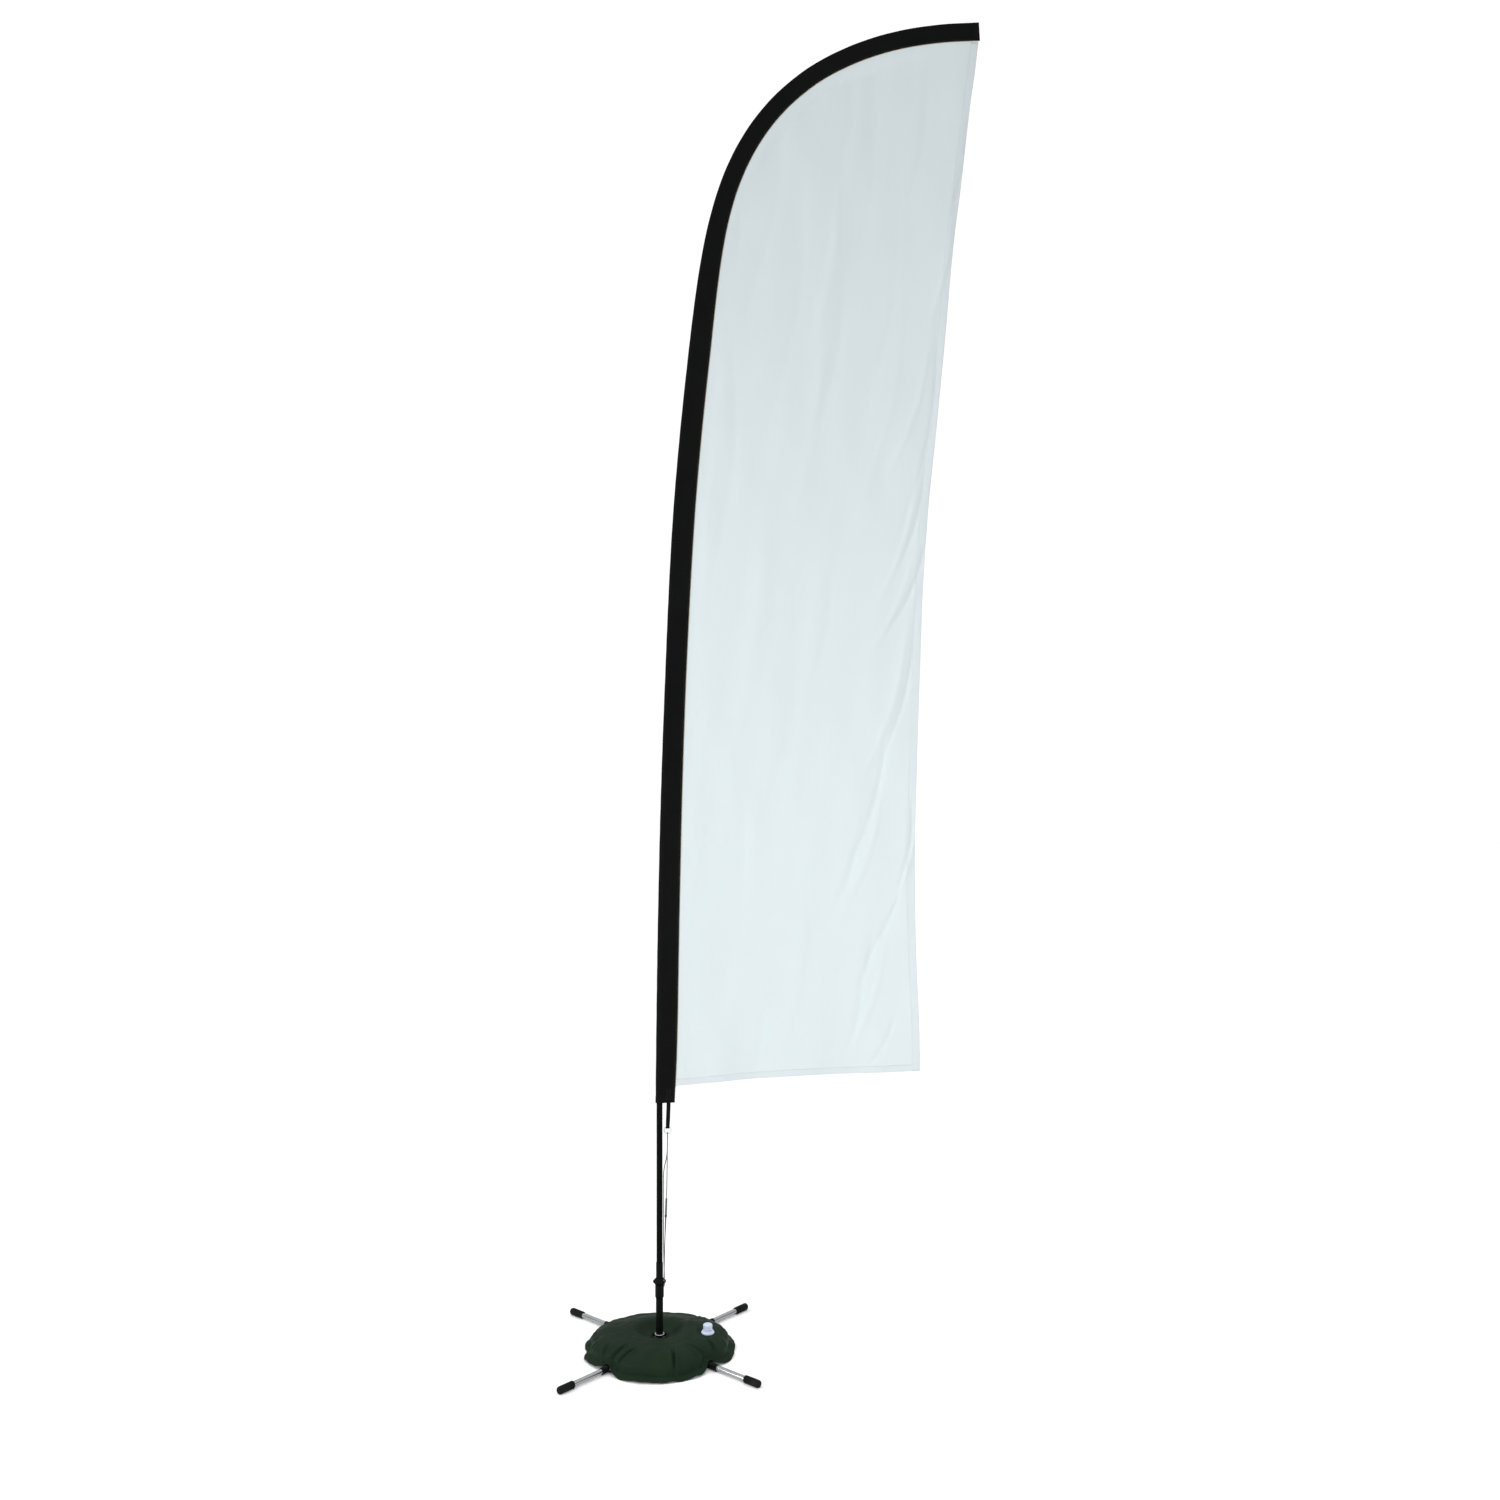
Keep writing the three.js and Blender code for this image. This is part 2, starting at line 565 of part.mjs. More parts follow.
// a pin across the side of the socket, at either end of an arm
function rivetTool(k, r) {
  const g = rod(r, 5, 20, 8).rotateX(-Math.PI / 2).translate(RIVET_X, 0, LEG_Z);
  return k > 0 ? g : g.rotateZ(Math.PI);
}
function legPieces(group, names) {
  [1, -1].forEach((k, i) => {
    const turned = new THREE.Group();
    turned.rotation.z = k > 0 ? 0 : Math.PI;
    group.add(turned);
    const name = names[i];
    const legTube = alongX(tube(LEG_BORE, LEG_R, SOCKET_FROM + 10, LEG_END - 4.6, 16)).translate(0, 0, LEG_Z);
    put(`leg_tube_${name}`, cut(legTube, rivetTool(1, 1.9)), M.chrome, turned);
    const c0 = LEG_END - CAP_LEN;
    const cap = alongX(
      lathe(
        [[LEG_R + GAP, c0], [FOOT_CAP_R - 0.8, c0], [FOOT_CAP_R, c0 + 1], [FOOT_CAP_R, LEG_END - 2],
         [FOOT_CAP_R - 2, LEG_END], [0, LEG_END], [0, LEG_END - 4.2], [LEG_R + GAP, LEG_END - 4.2],
         [LEG_R + GAP, c0]].reverse(), 20),
    ).translate(0, 0, LEG_Z);
    const ground = new THREE.BoxGeometry(CAP_LEN + 20, 40, 10).translate(LEG_END - CAP_LEN / 2, 0, -5);
    put(`foot_cap_${name}`, cut(cap, ground), M.rubber, turned);
    const rivet = join(
      rod(1.55, 5.2, SOCKET_R + 0.9, 8),
      lathe([[0, SOCKET_R + 0.3], [3.2, SOCKET_R + 0.3], [2.4, SOCKET_R + 1.4], [0, SOCKET_R + 1.6]], 10),
    );
    put(
      `leg_rivet_${name}`,
      geometryOf(rivet).rotateX(-Math.PI / 2).translate(RIVET_X, 0, LEG_Z),
      M.steel,
      turned,
    );
  });
}
const lowerArm = new THREE.Group();
lowerArm.rotation.z = ((45 + BASE_YAW) * Math.PI) / 180;
base.add(lowerArm);
put("lower_arm", armShape(LOWER_Z), M.powderCoat, lowerArm);
legPieces(lowerArm, ["back_right", "front_left"]);

const upperArm = new THREE.Group();
upperArm.rotation.z = ((135 + BASE_YAW) * Math.PI) / 180;
flag.add(upperArm);
put("upper_arm", armShape(UPPER_Z), M.powderCoat, upperArm);
legPieces(upperArm, ["back_left", "front_right"]);

// ---------------------------------------------------------------- water bag
const bag = lathe(
  [[BAG_HOLE_R, BAG_Z], [BAG_R - 3, BAG_Z], [BAG_R, BAG_Z + 3], [254, 33], [236, 47], [205, 61], [165, 72],
   [115, 78], [75, 72], [46, 58], [32, 47], [BAG_HOLE_R, 42.5], [BAG_HOLE_R, BAG_Z]], 40);
const valve = new THREE.Group();
valve.position.set(VALVE_AT[0], VALVE_AT[1], VALVE_SEAT_Z);
bagGroup.add(valve);
put(
  "water_bag",
  cut(bag, rod(22.9, VALVE_SEAT_Z, 120, 24).translate(VALVE_AT[0], VALVE_AT[1], 0)),
  M.bag,
  bagGroup,
);
put(
  "bag_eyelet",
  lathe([[23.4, 30], [25.6, 30], [25.6, 46.5], [31.5, 48], [31.5, 49.6], [23.4, 48.4], [23.4, 30]], 28),
  M.blackPlastic,
  bagGroup,
);
put(
  "valve_neck",
  lathe(
    [[10, 0.4], [22.4, 0.4], [22.4, 6], [20, 10.5], [14, 11.5], [12.4, 12.5], [12.4, 27], [10, 27], [10, 0.4]], 24),
  M.whitePlastic,
  valve,
);
put(
  "valve_cap",
  lathe([[0, 29.2], [12.9, 29.2], [12.9, 13], [15.4, 13], [15.8, 14], [15.8, 30], [14.5, 31.8], [0, 31.8]], 24),
  M.whitePlastic,
  valve,
);
put("cap_gasket", rod(12.3, 27.4, 28.9, 20), M.rubber, valve);

export default flag;
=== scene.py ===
"""Feather flag with pole: the looks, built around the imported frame. Metres, +Z up.

The shape numbers below are in millimetres, as in the CAD source, and mm() turns them to metres.
"""

import json
import math

import bmesh
import bpy
import numpy as np
from mathutils import Matrix, Vector


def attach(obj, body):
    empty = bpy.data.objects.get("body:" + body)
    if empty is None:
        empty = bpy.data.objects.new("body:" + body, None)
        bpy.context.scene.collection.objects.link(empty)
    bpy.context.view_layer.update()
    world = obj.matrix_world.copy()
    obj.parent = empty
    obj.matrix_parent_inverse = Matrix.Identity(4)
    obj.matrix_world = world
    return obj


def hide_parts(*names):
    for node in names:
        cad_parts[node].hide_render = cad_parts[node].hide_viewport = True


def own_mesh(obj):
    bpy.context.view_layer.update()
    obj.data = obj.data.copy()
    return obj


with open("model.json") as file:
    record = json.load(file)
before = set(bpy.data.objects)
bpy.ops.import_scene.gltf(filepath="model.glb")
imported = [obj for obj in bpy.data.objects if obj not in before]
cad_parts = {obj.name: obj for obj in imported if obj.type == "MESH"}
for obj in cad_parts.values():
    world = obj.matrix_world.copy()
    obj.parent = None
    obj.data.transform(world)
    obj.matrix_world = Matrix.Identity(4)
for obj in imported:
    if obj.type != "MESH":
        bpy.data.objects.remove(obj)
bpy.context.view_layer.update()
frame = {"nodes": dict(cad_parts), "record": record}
SCENE = bpy.context.scene
TAU = 2 * math.pi

# ------------------------------------------------------------------ camera
cam_data = bpy.data.cameras.new("camera")
cam_data.sensor_width = 36.0
cam_data.lens = 18.0 / math.tan(math.radians(30.0))
cam_data.shift_y = 44.0 / 1500.0
cam_data.clip_end = 200.0
camera = bpy.data.objects.new("camera", cam_data)
SCENE.collection.objects.link(camera)
camera.location = (0.312, -4.48, 1.913)
camera.rotation_euler = (math.radians(90.0), 0.0, 0.0)
SCENE.camera = camera

# ------------------------------------------------------------------ numbers shared with the CAD
BASE_YAW = 4.0
LEG_END, LEG_Z, LEG_R, LEG_BORE = 455.0, 12.0, 8.8, 7.6
SOCKET_R, SOCKET_FROM, SOCKET_TO = 10.8, 64.0, 272.0
CAP_LEN, FOOT_CAP_R = 62.0, 12.4
PLATE_T, LOWER_Z, UPPER_Z = 5.7, 6.0, 12.0
HUB_BORE = 6.45
MAST_AXIS = [
    (0, 175), (0, 330), (0, 500), (0, 680), (0.1, 849), (2.9, 1140), (6.9, 1430), (11.8, 1721),
    (19.9, 2011), (30.6, 2302), (42.5, 2592), (57.5, 2882), (80.8, 3161), (110.1, 3440),
    (125.3, 3568), (141.2, 3685), (161, 3801), (187, 3916), (225.9, 4039), (274.8, 4145),
    (338.3, 4243), (416.4, 4330), (516.5, 4410), (619, 4467), (728.2, 4510.5), (841.7, 4540.5),
    (968.9, 4559.3), (1102, 4567),
]
NOSE = [(674, 13.9), (1240, 13.7), (1500, 12.5), (2480, 11.9), (2700, 10.6), (3700, 9.7), (3950, 8.2), (4960, 6.4)]
WIDTH = [(674, 65.7), (734, 69.5), (860, 73), (1000, 74.6), (1500, 74.8), (2100, 73), (2600, 75.8), (3300, 75.9),
         (3500, 72.5), (3650, 68.5), (3800, 65), (4000, 63.8), (4400, 62), (4960, 63)]
SLEEVE_FROM = 674.0
SAIL_FOOT_S = 731.0
LEECH = [
    (1099, 4500), (1087, 4400), (1073, 4302), (1041, 4017), (1014, 3811), (978, 3409), (946, 3091),
    (925, 2880), (908, 2634), (899, 2375), (890, 2127), (883, 1881), (879.6, 1670), (884.4, 1371),
    (893, 1180), (897.2, 1054), (899.2, 957.5),
]
FOOT_EDGE = [(899.2, 957.5), (531, 943.5), (355, 931), (144, 911)]
CORD_ROUTE = [
    (16.108, -9.3, 226), (16.108, -9.3, 238), (16.108, -8.9, 250), (17.1, -8, 300), (18.4, -7, 360),
    (20.6, -6, 420), (22.0, -5.4, 460), (23.2, -4.9, 495), (24.4, -4.4, 530), (25.4, -4.0, 560),
    (26.4, -3.9, 620), (27.1, -3.9, 680), (27.7, -3.9, 725), (27.9, -3.9, 741.1), (27.9, -2.9, 744.4),
    (27.9, -1.2, 746.0), (27.9, 1.2, 746.0), (27.9, 2.9, 744.4), (27.9, 3.9, 741.1), (27.6, 3.9, 725),
    (26.8, 3.9, 690), (24.2, 3.7, 660), (17.9, 3.2, 632), (13.9, 3.0, 606), (13.0, 3.4, 560),
    (13.0, 4.0, 480), (13.4, 5.0, 400), (14.2, 6.6, 320), (16.108, 8.9, 250), (16.108, 9.3, 238),
    (16.108, 9.3, 226),
]
VALVE = (167.0, -20.0)
LEG_AZIMUTHS = [49.0, 139.0, 229.0, 319.0]


# ------------------------------------------------------------------ curves
def catmull(points, per=40):
    """Centripetal Catmull-Rom through the points, per steps a segment."""
    p = np.array(points, float)
    p = np.vstack([2 * p[0] - p[1], p, 2 * p[-1] - p[-2]])
    out = []
    for i in range(1, len(p) - 2):
        p0, p1, p2, p3 = p[i - 1], p[i], p[i + 1], p[i + 2]
        d0, d1, d2 = (max(np.linalg.norm(b - a), 1e-9) ** 0.5 for a, b in ((p0, p1), (p1, p2), (p2, p3)))
        t1 = ((p1 - p0) / d0 - (p2 - p0) / (d0 + d1) + (p2 - p1) / d1) * d1
        t2 = ((p2 - p1) / d1 - (p3 - p1) / (d1 + d2) + (p3 - p2) / d2) * d1
        t = np.linspace(0, 1, per, endpoint=False)[:, None]
        out.append(p1 + t1 * t + (-3 * p1 + 3 * p2 - 2 * t1 - t2) * t**2 + (2 * p1 - 2 * p2 + t1 + t2) * t**3)
    out.append(p[-2][None])
    return np.vstack(out)


def arclength(line):
    return np.concatenate([[0], np.cumsum(np.linalg.norm(np.diff(line, axis=0), axis=1))])


AXIS = catmull(MAST_AXIS, 60)
AXIS_S = arclength(AXIS)
MAST_LEN = float(AXIS_S[-1])
_tan = np.gradient(AXIS, AXIS_S, axis=0)
_tan /= np.linalg.norm(_tan, axis=1)[:, None]


def law(table, s):
    return np.interp(s, [a for a, _ in table], [b for _, b in table])


def smooth_law(table, s):
    """The table again, with its corners rounded off."""
    s = np.asarray(s, float)
    return sum(law(table, s + d) for d in (-40, -20, 0, 20, 40)) / 5


def on_mast(s, n, b):
    """Points s along the mast's axis, n towards the sail, b across it, in millimetres."""
    s, n, b = (np.asarray(x, float) for x in (s, n, b))
    u = np.clip(s, 0, MAST_LEN)
    over = s - u
    px, pz = np.interp(u, AXIS_S, AXIS[:, 0]), np.interp(u, AXIS_S, AXIS[:, 1])
    tx, tz = np.interp(u, AXIS_S, _tan[:, 0]), np.interp(u, AXIS_S, _tan[:, 1])
    b = b + 0 * px + 0 * n
    return np.stack([px + tz * n + tx * over, b, pz - tx * n + tz * over], axis=-1)


def smoothstep(a, b, x):
    t = np.clip((np.asarray(x, float) - a) / (b - a), 0, 1)
    return t * t * (3 - 2 * t)


# ------------------------------------------------------------------ mesh tools
def mm(co):
    return np.asarray(co, float) * 0.001


def grid_faces(rows, cols, wrap=False, wrap_rows=False):
    i = np.arange(rows if wrap_rows else rows - 1)[:, None]
    j = np.arange(cols if wrap else cols - 1)[None, :]
    i2, j2 = (i + 1) % rows, (j + 1) % cols
    return np.stack([i * cols + j, i * cols + j2, i2 * cols + j2, i2 * cols + j], axis=-1).reshape(-1, 4).tolist()


def make(name, co, faces, material, angle=35.0, weld=0.0, outward=True):
    """A mesh object from points in millimetres. Edges sharper than angle stay crisp."""
    me = bpy.data.meshes.new(name)
    me.from_pydata(mm(co).tolist(), [], faces)
    bm = bmesh.new()
    bm.from_mesh(me)
    if weld:
        bmesh.ops.remove_doubles(bm, verts=bm.verts, dist=weld * 0.001)
        bmesh.ops.dissolve_degenerate(bm, dist=1e-7, edges=bm.edges)
    if outward:
        bmesh.ops.recalc_face_normals(bm, faces=bm.faces)
    limit = math.radians(angle)
    for f in bm.faces:
        f.smooth = True
    for e in bm.edges:
        e.smooth = not (len(e.link_faces) == 2 and e.calc_face_angle(0) > limit)
    bm.to_mesh(me)
    bm.free()
    me.materials.append(material)
    ob = bpy.data.objects.new(name, me)
    SCENE.collection.objects.link(ob)
    return ob


def finish_piece(ob, body, replaces=()):
    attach(ob, body)
    if replaces:
        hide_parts(*replaces)
    return ob


def fillet(profile, r, n=3, closed=None):
    """The profile with its corners rounded to about r, by n steps each."""
    pts = [np.array(p[:2], float) for p in profile]
    radii = [p[2] if len(p) > 2 else r for p in profile]
    closed = np.allclose(pts[0], pts[-1]) if closed is None else closed
    if closed:
        pts, radii = pts[:-1], radii[:-1]
    out, m = [], len(pts)
    for i in range(m):
        if not closed and i in (0, m - 1):
            out.append(pts[i])
            continue
        a, p, b = pts[i - 1], pts[i], pts[(i + 1) % m]
        la, lb = np.linalg.norm(a - p), np.linalg.norm(b - p)
        d = min(radii[i], 0.46 * la, 0.46 * lb)
        if d < 1e-3:
            out.append(p)
            continue
        s, e = p + (a - p) * d / la, p + (b - p) * d / lb
        for k in range(n + 1):
            t = k / n
            out.append((1 - t) ** 2 * s + 2 * t * (1 - t) * p + t * t * e)
    if closed:
        out.append(out[0])
    return [tuple(q) for q in out]


def lathe_co(profile, seg=64):
    """Points and faces of a piece turned about Z. The profile closes on itself, or starts and ends on the axis."""
    pr = np.array(profile, float)
    closed = np.allclose(pr[0], pr[-1])
    if closed:
        pr = pr[:-1]
    a = np.arange(seg) * TAU / seg
    co = np.stack([pr[:, 0, None] * np.cos(a), pr[:, 0, None] * np.sin(a), pr[:, 1, None] + 0 * a], axis=-1)
    return co.reshape(-1, 3), grid_faces(len(pr), seg, wrap=True, wrap_rows=closed)


def lathe(name, profile, material, seg=64, place=None, r=0.5, n=3, angle=35.0, shape=None):
    """A turned piece. place takes the points to the frame, and shape changes them first."""
    co, faces = lathe_co(fillet(profile, r, n) if r else profile, seg)
    if shape:
        co = shape(co)
    if place is not None:
        co = place(co)
    return make(name, co, faces, material, angle=angle, weld=0.001)


def frames_along(line):
    """Tangents and two side directions that don't twist, at each point of the line."""
    t = np.gradient(line, axis=0)
    t /= np.linalg.norm(t, axis=1)[:, None]
    u = np.zeros_like(line)
    ref = np.array([0.0, 1.0, 0.0]) if abs(t[0][1]) < 0.9 else np.array([1.0, 0.0, 0.0])
    u[0] = np.cross(t[0], ref)
    u[0] /= np.linalg.norm(u[0])
    for i in range(1, len(line)):
        v = u[i - 1] - t[i] * (u[i - 1] @ t[i])
        u[i] = v / np.linalg.norm(v)
    return t, u, np.cross(t, u)


def tube_co(line, radius, seg=12, caps=True, closed=False):
    """Points and faces of a tube along the line. radius is a number or f(distance, angle)."""
    line = np.asarray(line, float)
    t, u, v = frames_along(line)
    s = arclength(line)
    a = np.arange(seg) * TAU / seg
    r = radius(s[:, None], a[None, :]) if callable(radius) else np.broadcast_to(np.asarray(radius, float).reshape(-1, 1), (len(line), seg))
    co = line[:, None] + r[..., None] * (np.cos(a)[None, :, None] * u[:, None] + np.sin(a)[None, :, None] * v[:, None])
    co = co.reshape(-1, 3)
    faces = grid_faces(len(line), seg, wrap=True, wrap_rows=closed)
    if caps and not closed:
        k = len(co)
        co = np.vstack([co, line[0], line[-1]])
        last = (len(line) - 1) * seg
        faces += [[k, (j + 1) % seg, j] for j in range(seg)] + [[k + 1, last + j, last + (j + 1) % seg] for j in range(seg)]
    return co, faces


def respaced(line, step):
    line = np.asarray(line, float)
    s = arclength(line)
    at = np.linspace(0, s[-1], max(2, int(math.ceil(s[-1] / step)) + 1))
    return np.stack([np.interp(at, s, line[:, k]) for k in range(line.shape[1])], axis=1)


def merged(parts):
    """Several (points, faces) as one."""
    cos, faces, k = [], [], 0
    for co, fs in parts:
        cos.append(np.asarray(co, float))
        faces += [[i + k for i in f] for f in fs]
        k += len(co)
    return np.vstack(cos), faces


def boolean(ob, tool, operation):
    """ob joined with or cut by tool, as ob's new mesh. tool goes away."""
    m = ob.modifiers.new("b", "BOOLEAN")
    m.operation, m.object, m.solver = operation, tool, "EXACT"
    bpy.context.view_layer.update()
    done = bpy.data.meshes.new_from_object(ob.evaluated_get(bpy.context.evaluated_depsgraph_get()))
    ob.modifiers.clear()
    old, ob.data = ob.data, done
    done.name = ob.name
    bpy.data.meshes.remove(old)
    bpy.data.objects.remove(tool)
    bm = bmesh.new()
    bm.from_mesh(ob.data)
    bmesh.ops.remove_doubles(bm, verts=bm.verts, dist=2e-6)
    for f in bm.faces:
        f.smooth = True
    for e in bm.edges:
        e.smooth = not (len(e.link_faces) == 2 and e.calc_face_angle(0) > math.radians(32))
    bm.to_mesh(ob.data)
    bm.free()
    return ob


def solidify(ob, thickness, offset=0.0):
    m = ob.modifiers.new("thickness", "SOLIDIFY")
    m.thickness, m.offset, m.use_even_offset = thickness * 0.001, offset, False
    return ob


def turn_z(deg):
    a = math.radians(deg)
    c, s = math.cos(a), math.sin(a)
    return lambda co: np.stack([co[..., 0] * c - co[..., 1] * s, co[..., 0] * s + co[..., 1] * c, co[..., 2]], axis=-1)


def along_x(z):
    """A piece turned about Z laid along +X at height z."""
    return lambda co: np.stack([co[..., 2], co[..., 1], z - co[..., 0]], axis=-1)


def stitches(runs, pitch, length, radius, lift=0.0):
    """Stitches along runs. A run is (points, outward normals): each stitch is a small closed spindle that dips at its ends."""
    cos, faces, k = [], [], 0
    ring = np.array([[math.cos(a), math.sin(a)] for a in (0.25 * TAU, 0.5 * TAU, 0.75 * TAU, TAU)])
    for line, normal in runs:
        s = arclength(line)
        at = np.arange(pitch * 0.5, s[-1] - pitch * 0.5, pitch)
        if not len(at):
            continue
        look = lambda q, arr: np.stack([np.interp(q, s, arr[:, c]) for c in range(3)], axis=1)
        a, b, m = look(at - length / 2, line), look(at + length / 2, line), look(at, line)
        nn = look(at, normal)
        nn /= np.linalg.norm(nn, axis=1)[:, None]
        d = b - a
        d /= np.linalg.norm(d, axis=1)[:, None]
        side = np.cross(d, nn)
        pts = []
        for f, up in ((0.22, 0.45), (0.5, 0.8), (0.78, 0.45)):
            c = a + (b - a) * f if f != 0.5 else m
            r = radius * (1.0 if f == 0.5 else 0.85)
            for x, y in ring:
                pts.append(c + nn * (lift + up * radius + y * r * 0.8) + side * (x * r))
        ends = [a + nn * (lift - 0.3 * radius), b + nn * (lift - 0.3 * radius)]
        block = np.stack([*pts, *ends], axis=1)
        for i in range(len(at)):
            o = k + 14 * i
            for j in range(4):
                j2 = (j + 1) % 4
                faces.append([o + 12, o + j, o + j2])
                faces.append([o + j, o + 4 + j, o + 4 + j2, o + j2])
                faces.append([o + 4 + j, o + 8 + j, o + 8 + j2, o + 4 + j2])
                faces.append([o + 13, o + 8 + j2, o + 8 + j])
        cos.append(block.reshape(-1, 3))
        k += 14 * len(at)
    return np.vstack(cos), faces


# ------------------------------------------------------------------ materials
class Look:
    """A Principled material, with short names for the nodes that give it its detail."""

    def __init__(self, name, color, roughness, metallic=0.0, specular=0.5, coat=0.0, coat_rough=0.1, sheen=0.0, ior=1.45):
        self.m = bpy.data.materials.new(name)
        self.m.use_nodes = True
        self.nt = self.m.node_tree
        self.nt.nodes.clear()
        self.out = self.nt.nodes.new("ShaderNodeOutputMaterial")
        self.b = self.nt.nodes.new("ShaderNodeBsdfPrincipled")
        self.link(self.b.outputs[0], self.out.inputs[0])
        i = self.b.inputs
        i["Base Color"].default_value = (*color, 1)
        i["Roughness"].default_value = roughness
        i["Metallic"].default_value = metallic
        i["Specular IOR Level"].default_value = specular
        i["IOR"].default_value = ior
        i["Coat Weight"].default_value = coat
        i["Coat Roughness"].default_value = coat_rough
        i["Sheen Weight"].default_value = sheen
        i["Sheen Roughness"].default_value = 0.5
        self.color, self.roughness = color, roughness
        tc = self.nt.nodes.new("ShaderNodeTexCoord")
        self.at = tc.outputs["Object"]
        self.normal = None
        self.m.diffuse_color = (*color, 1)

    def link(self, a, b):
        self.nt.links.new(a, b)

    def put(self, socket, value):
        if hasattr(value, "is_linked"):
            self.link(value, socket)
        else:
            socket.default_value = value

    def math(self, op, a, b=0.0, c=0.0, clamp=False):
        n = self.nt.nodes.new("ShaderNodeMath")
        n.operation, n.use_clamp = op, clamp
        for s, v in zip(n.inputs, (a, b, c)):
            self.put(s, v)
        return n.outputs[0]

    def scaled(self, sx, sy=None, sz=None, turn=(0, 0, 0), src=None):
        n = self.nt.nodes.new("ShaderNodeMapping")
        n.inputs["Scale"].default_value = (sx, sx if sy is None else sy, sx if sz is None else sz)
        n.inputs["Rotation"].default_value = tuple(math.radians(t) for t in turn)
        self.link(src or self.at, n.inputs["Vector"])
        return n.outputs[0]

    def noise(self, scale, detail=3.0, rough=0.5, vec=None, distortion=0.0):
        n = self.nt.nodes.new("ShaderNodeTexNoise")
        n.inputs["Scale"].default_value = scale
        n.inputs["Detail"].default_value = detail
        n.inputs["Roughness"].default_value = rough
        n.inputs["Distortion"].default_value = distortion
        self.link(vec or self.at, n.inputs["Vector"])
        return n.outputs[0]

    def voronoi(self, scale, vec=None, feature="F1", which="Distance"):
        n = self.nt.nodes.new("ShaderNodeTexVoronoi")
        n.feature = feature
        n.inputs["Scale"].default_value = scale
        self.link(vec or self.at, n.inputs["Vector"])
        return n.outputs[which]

    def wave(self, scale, direction="X", distortion=0.0, vec=None, kind="BANDS", detail=0.0, profile="SIN"):
        n = self.nt.nodes.new("ShaderNodeTexWave")
        n.wave_type, n.wave_profile = kind, profile
        if kind == "BANDS":
            n.bands_direction = direction
        else:
            n.rings_direction = direction
        n.inputs["Scale"].default_value = scale
        n.inputs["Distortion"].default_value = distortion
        n.inputs["Detail"].default_value = detail
        self.link(vec or self.at, n.inputs["Vector"])
        return n.outputs[1]

    def ramp(self, fac, stops):
        n = self.nt.nodes.new("ShaderNodeValToRGB")
        e = n.color_ramp.elements
        while len(e) > 1:
            e.remove(e[-1])
        e[0].position = stops[0][0]
        e[0].color = self._rgba(stops[0][1])
        for p, c in stops[1:]:
            k = e.new(p)
            k.color = self._rgba(c)
        self.link(fac, n.inputs[0])
        return n.outputs[0]

    @staticmethod
    def _rgba(c):
        return (c, c, c, 1) if isinstance(c, (int, float)) else (*c, 1)

    def mix(self, fac, a, b, blend="MIX"):
        n = self.nt.nodes.new("ShaderNodeMix")
        n.data_type, n.blend_type = "RGBA", blend
        self.put(n.inputs[0], fac)
        for s, v in ((n.inputs[6], a), (n.inputs[7], b)):
            if hasattr(v, "is_linked"):
                self.link(v, s)
            else:
                s.default_value = self._rgba(v)
        return n.outputs[2]

    def tint(self, fac, low, high):
        """Base colour between low and high times the look's own colour."""
        a, b = (tuple(min(1, c * k) for c in self.color) for k in (low, high))
        self.link(self.ramp(fac, [(0.25, a), (0.75, b)]), self.b.inputs["Base Color"])
        return self

    def rough(self, fac, low, high, a=0.3, b=0.7):
        self.link(self.ramp(fac, [(a, low), (b, high)]), self.b.inputs["Roughness"])
        return self

    def bump(self, height, distance, strength=1.0):
        n = self.nt.nodes.new("ShaderNodeBump")
        n.inputs["Strength"].default_value = strength
        n.inputs["Distance"].default_value = distance * 0.001
        self.link(height, n.inputs["Height"])
        if self.normal is not None:
            self.link(self.normal, n.inputs["Normal"])
        self.normal = n.outputs[0]
        self.link(self.normal, self.b.inputs["Normal"])
        if self.b.inputs["Coat Weight"].default_value > 0:
            self.link(self.normal, self.b.inputs["Coat Normal"])
        return self


def cloth_look(name, color, pitch, depth, rough=0.85, specular=0.25, sheen=0.0, variation=0.03, slub=0.0):
    """Plain weave in the X-Z plane: warp and weft ridges pitch millimetres apart, with a soft cloudiness."""
    k = Look(name, color, rough, specular=specular, sheen=sheen)
    per_m = 1000.0 / pitch / TAU * 10  # a wave texture has scale * 20 / 2 pi bands per metre
    per_m = 1000.0 / pitch * TAU / 20.0
    warp, weft = k.wave(per_m, "X"), k.wave(per_m, "Z")
    weave = k.math("ADD", warp, weft)
    weave = k.math("MULTIPLY", weave, 0.5)
    cloud = k.noise(3.2, 5, 0.55)
    k.tint(k.mix(0.35, cloud, weave), 1 - variation, 1 + variation)
    k.bump(weave, depth)
    k.bump(k.noise(55, 4, 0.6), 0.25 + slub)
    k.rough(k.noise(9, 3), rough - 0.06, min(1.0, rough + 0.06))
    return k


SAIL = cloth_look("sail_polyester", (0.675, 0.738, 0.748), 0.9, 0.05, rough=0.78, specular=0.3, variation=0.012, slub=0.1)
# thin cloth lets some light through
_t = SAIL.nt.nodes.new("ShaderNodeBsdfTranslucent")
_t.inputs["Color"].default_value = (0.66, 0.735, 0.745, 1)
_mixer = SAIL.nt.nodes.new("ShaderNodeMixShader")
_mixer.inputs[0].default_value = 0.22
SAIL.link(SAIL.b.outputs[0], _mixer.inputs[1])
SAIL.link(_t.outputs[0], _mixer.inputs[2])
SAIL.link(_mixer.outputs[0], SAIL.out.inputs[0])

SLEEVE = cloth_look("sleeve_polyester", (0.0034, 0.0038, 0.0035), 0.8, 0.09, rough=0.9, specular=0.09, sheen=0.0, variation=0.25, slub=0.25)
WEB = cloth_look("webbing_black", (0.0035, 0.0038, 0.0036), 1.3, 0.22, rough=0.82, specular=0.1, variation=0.3)

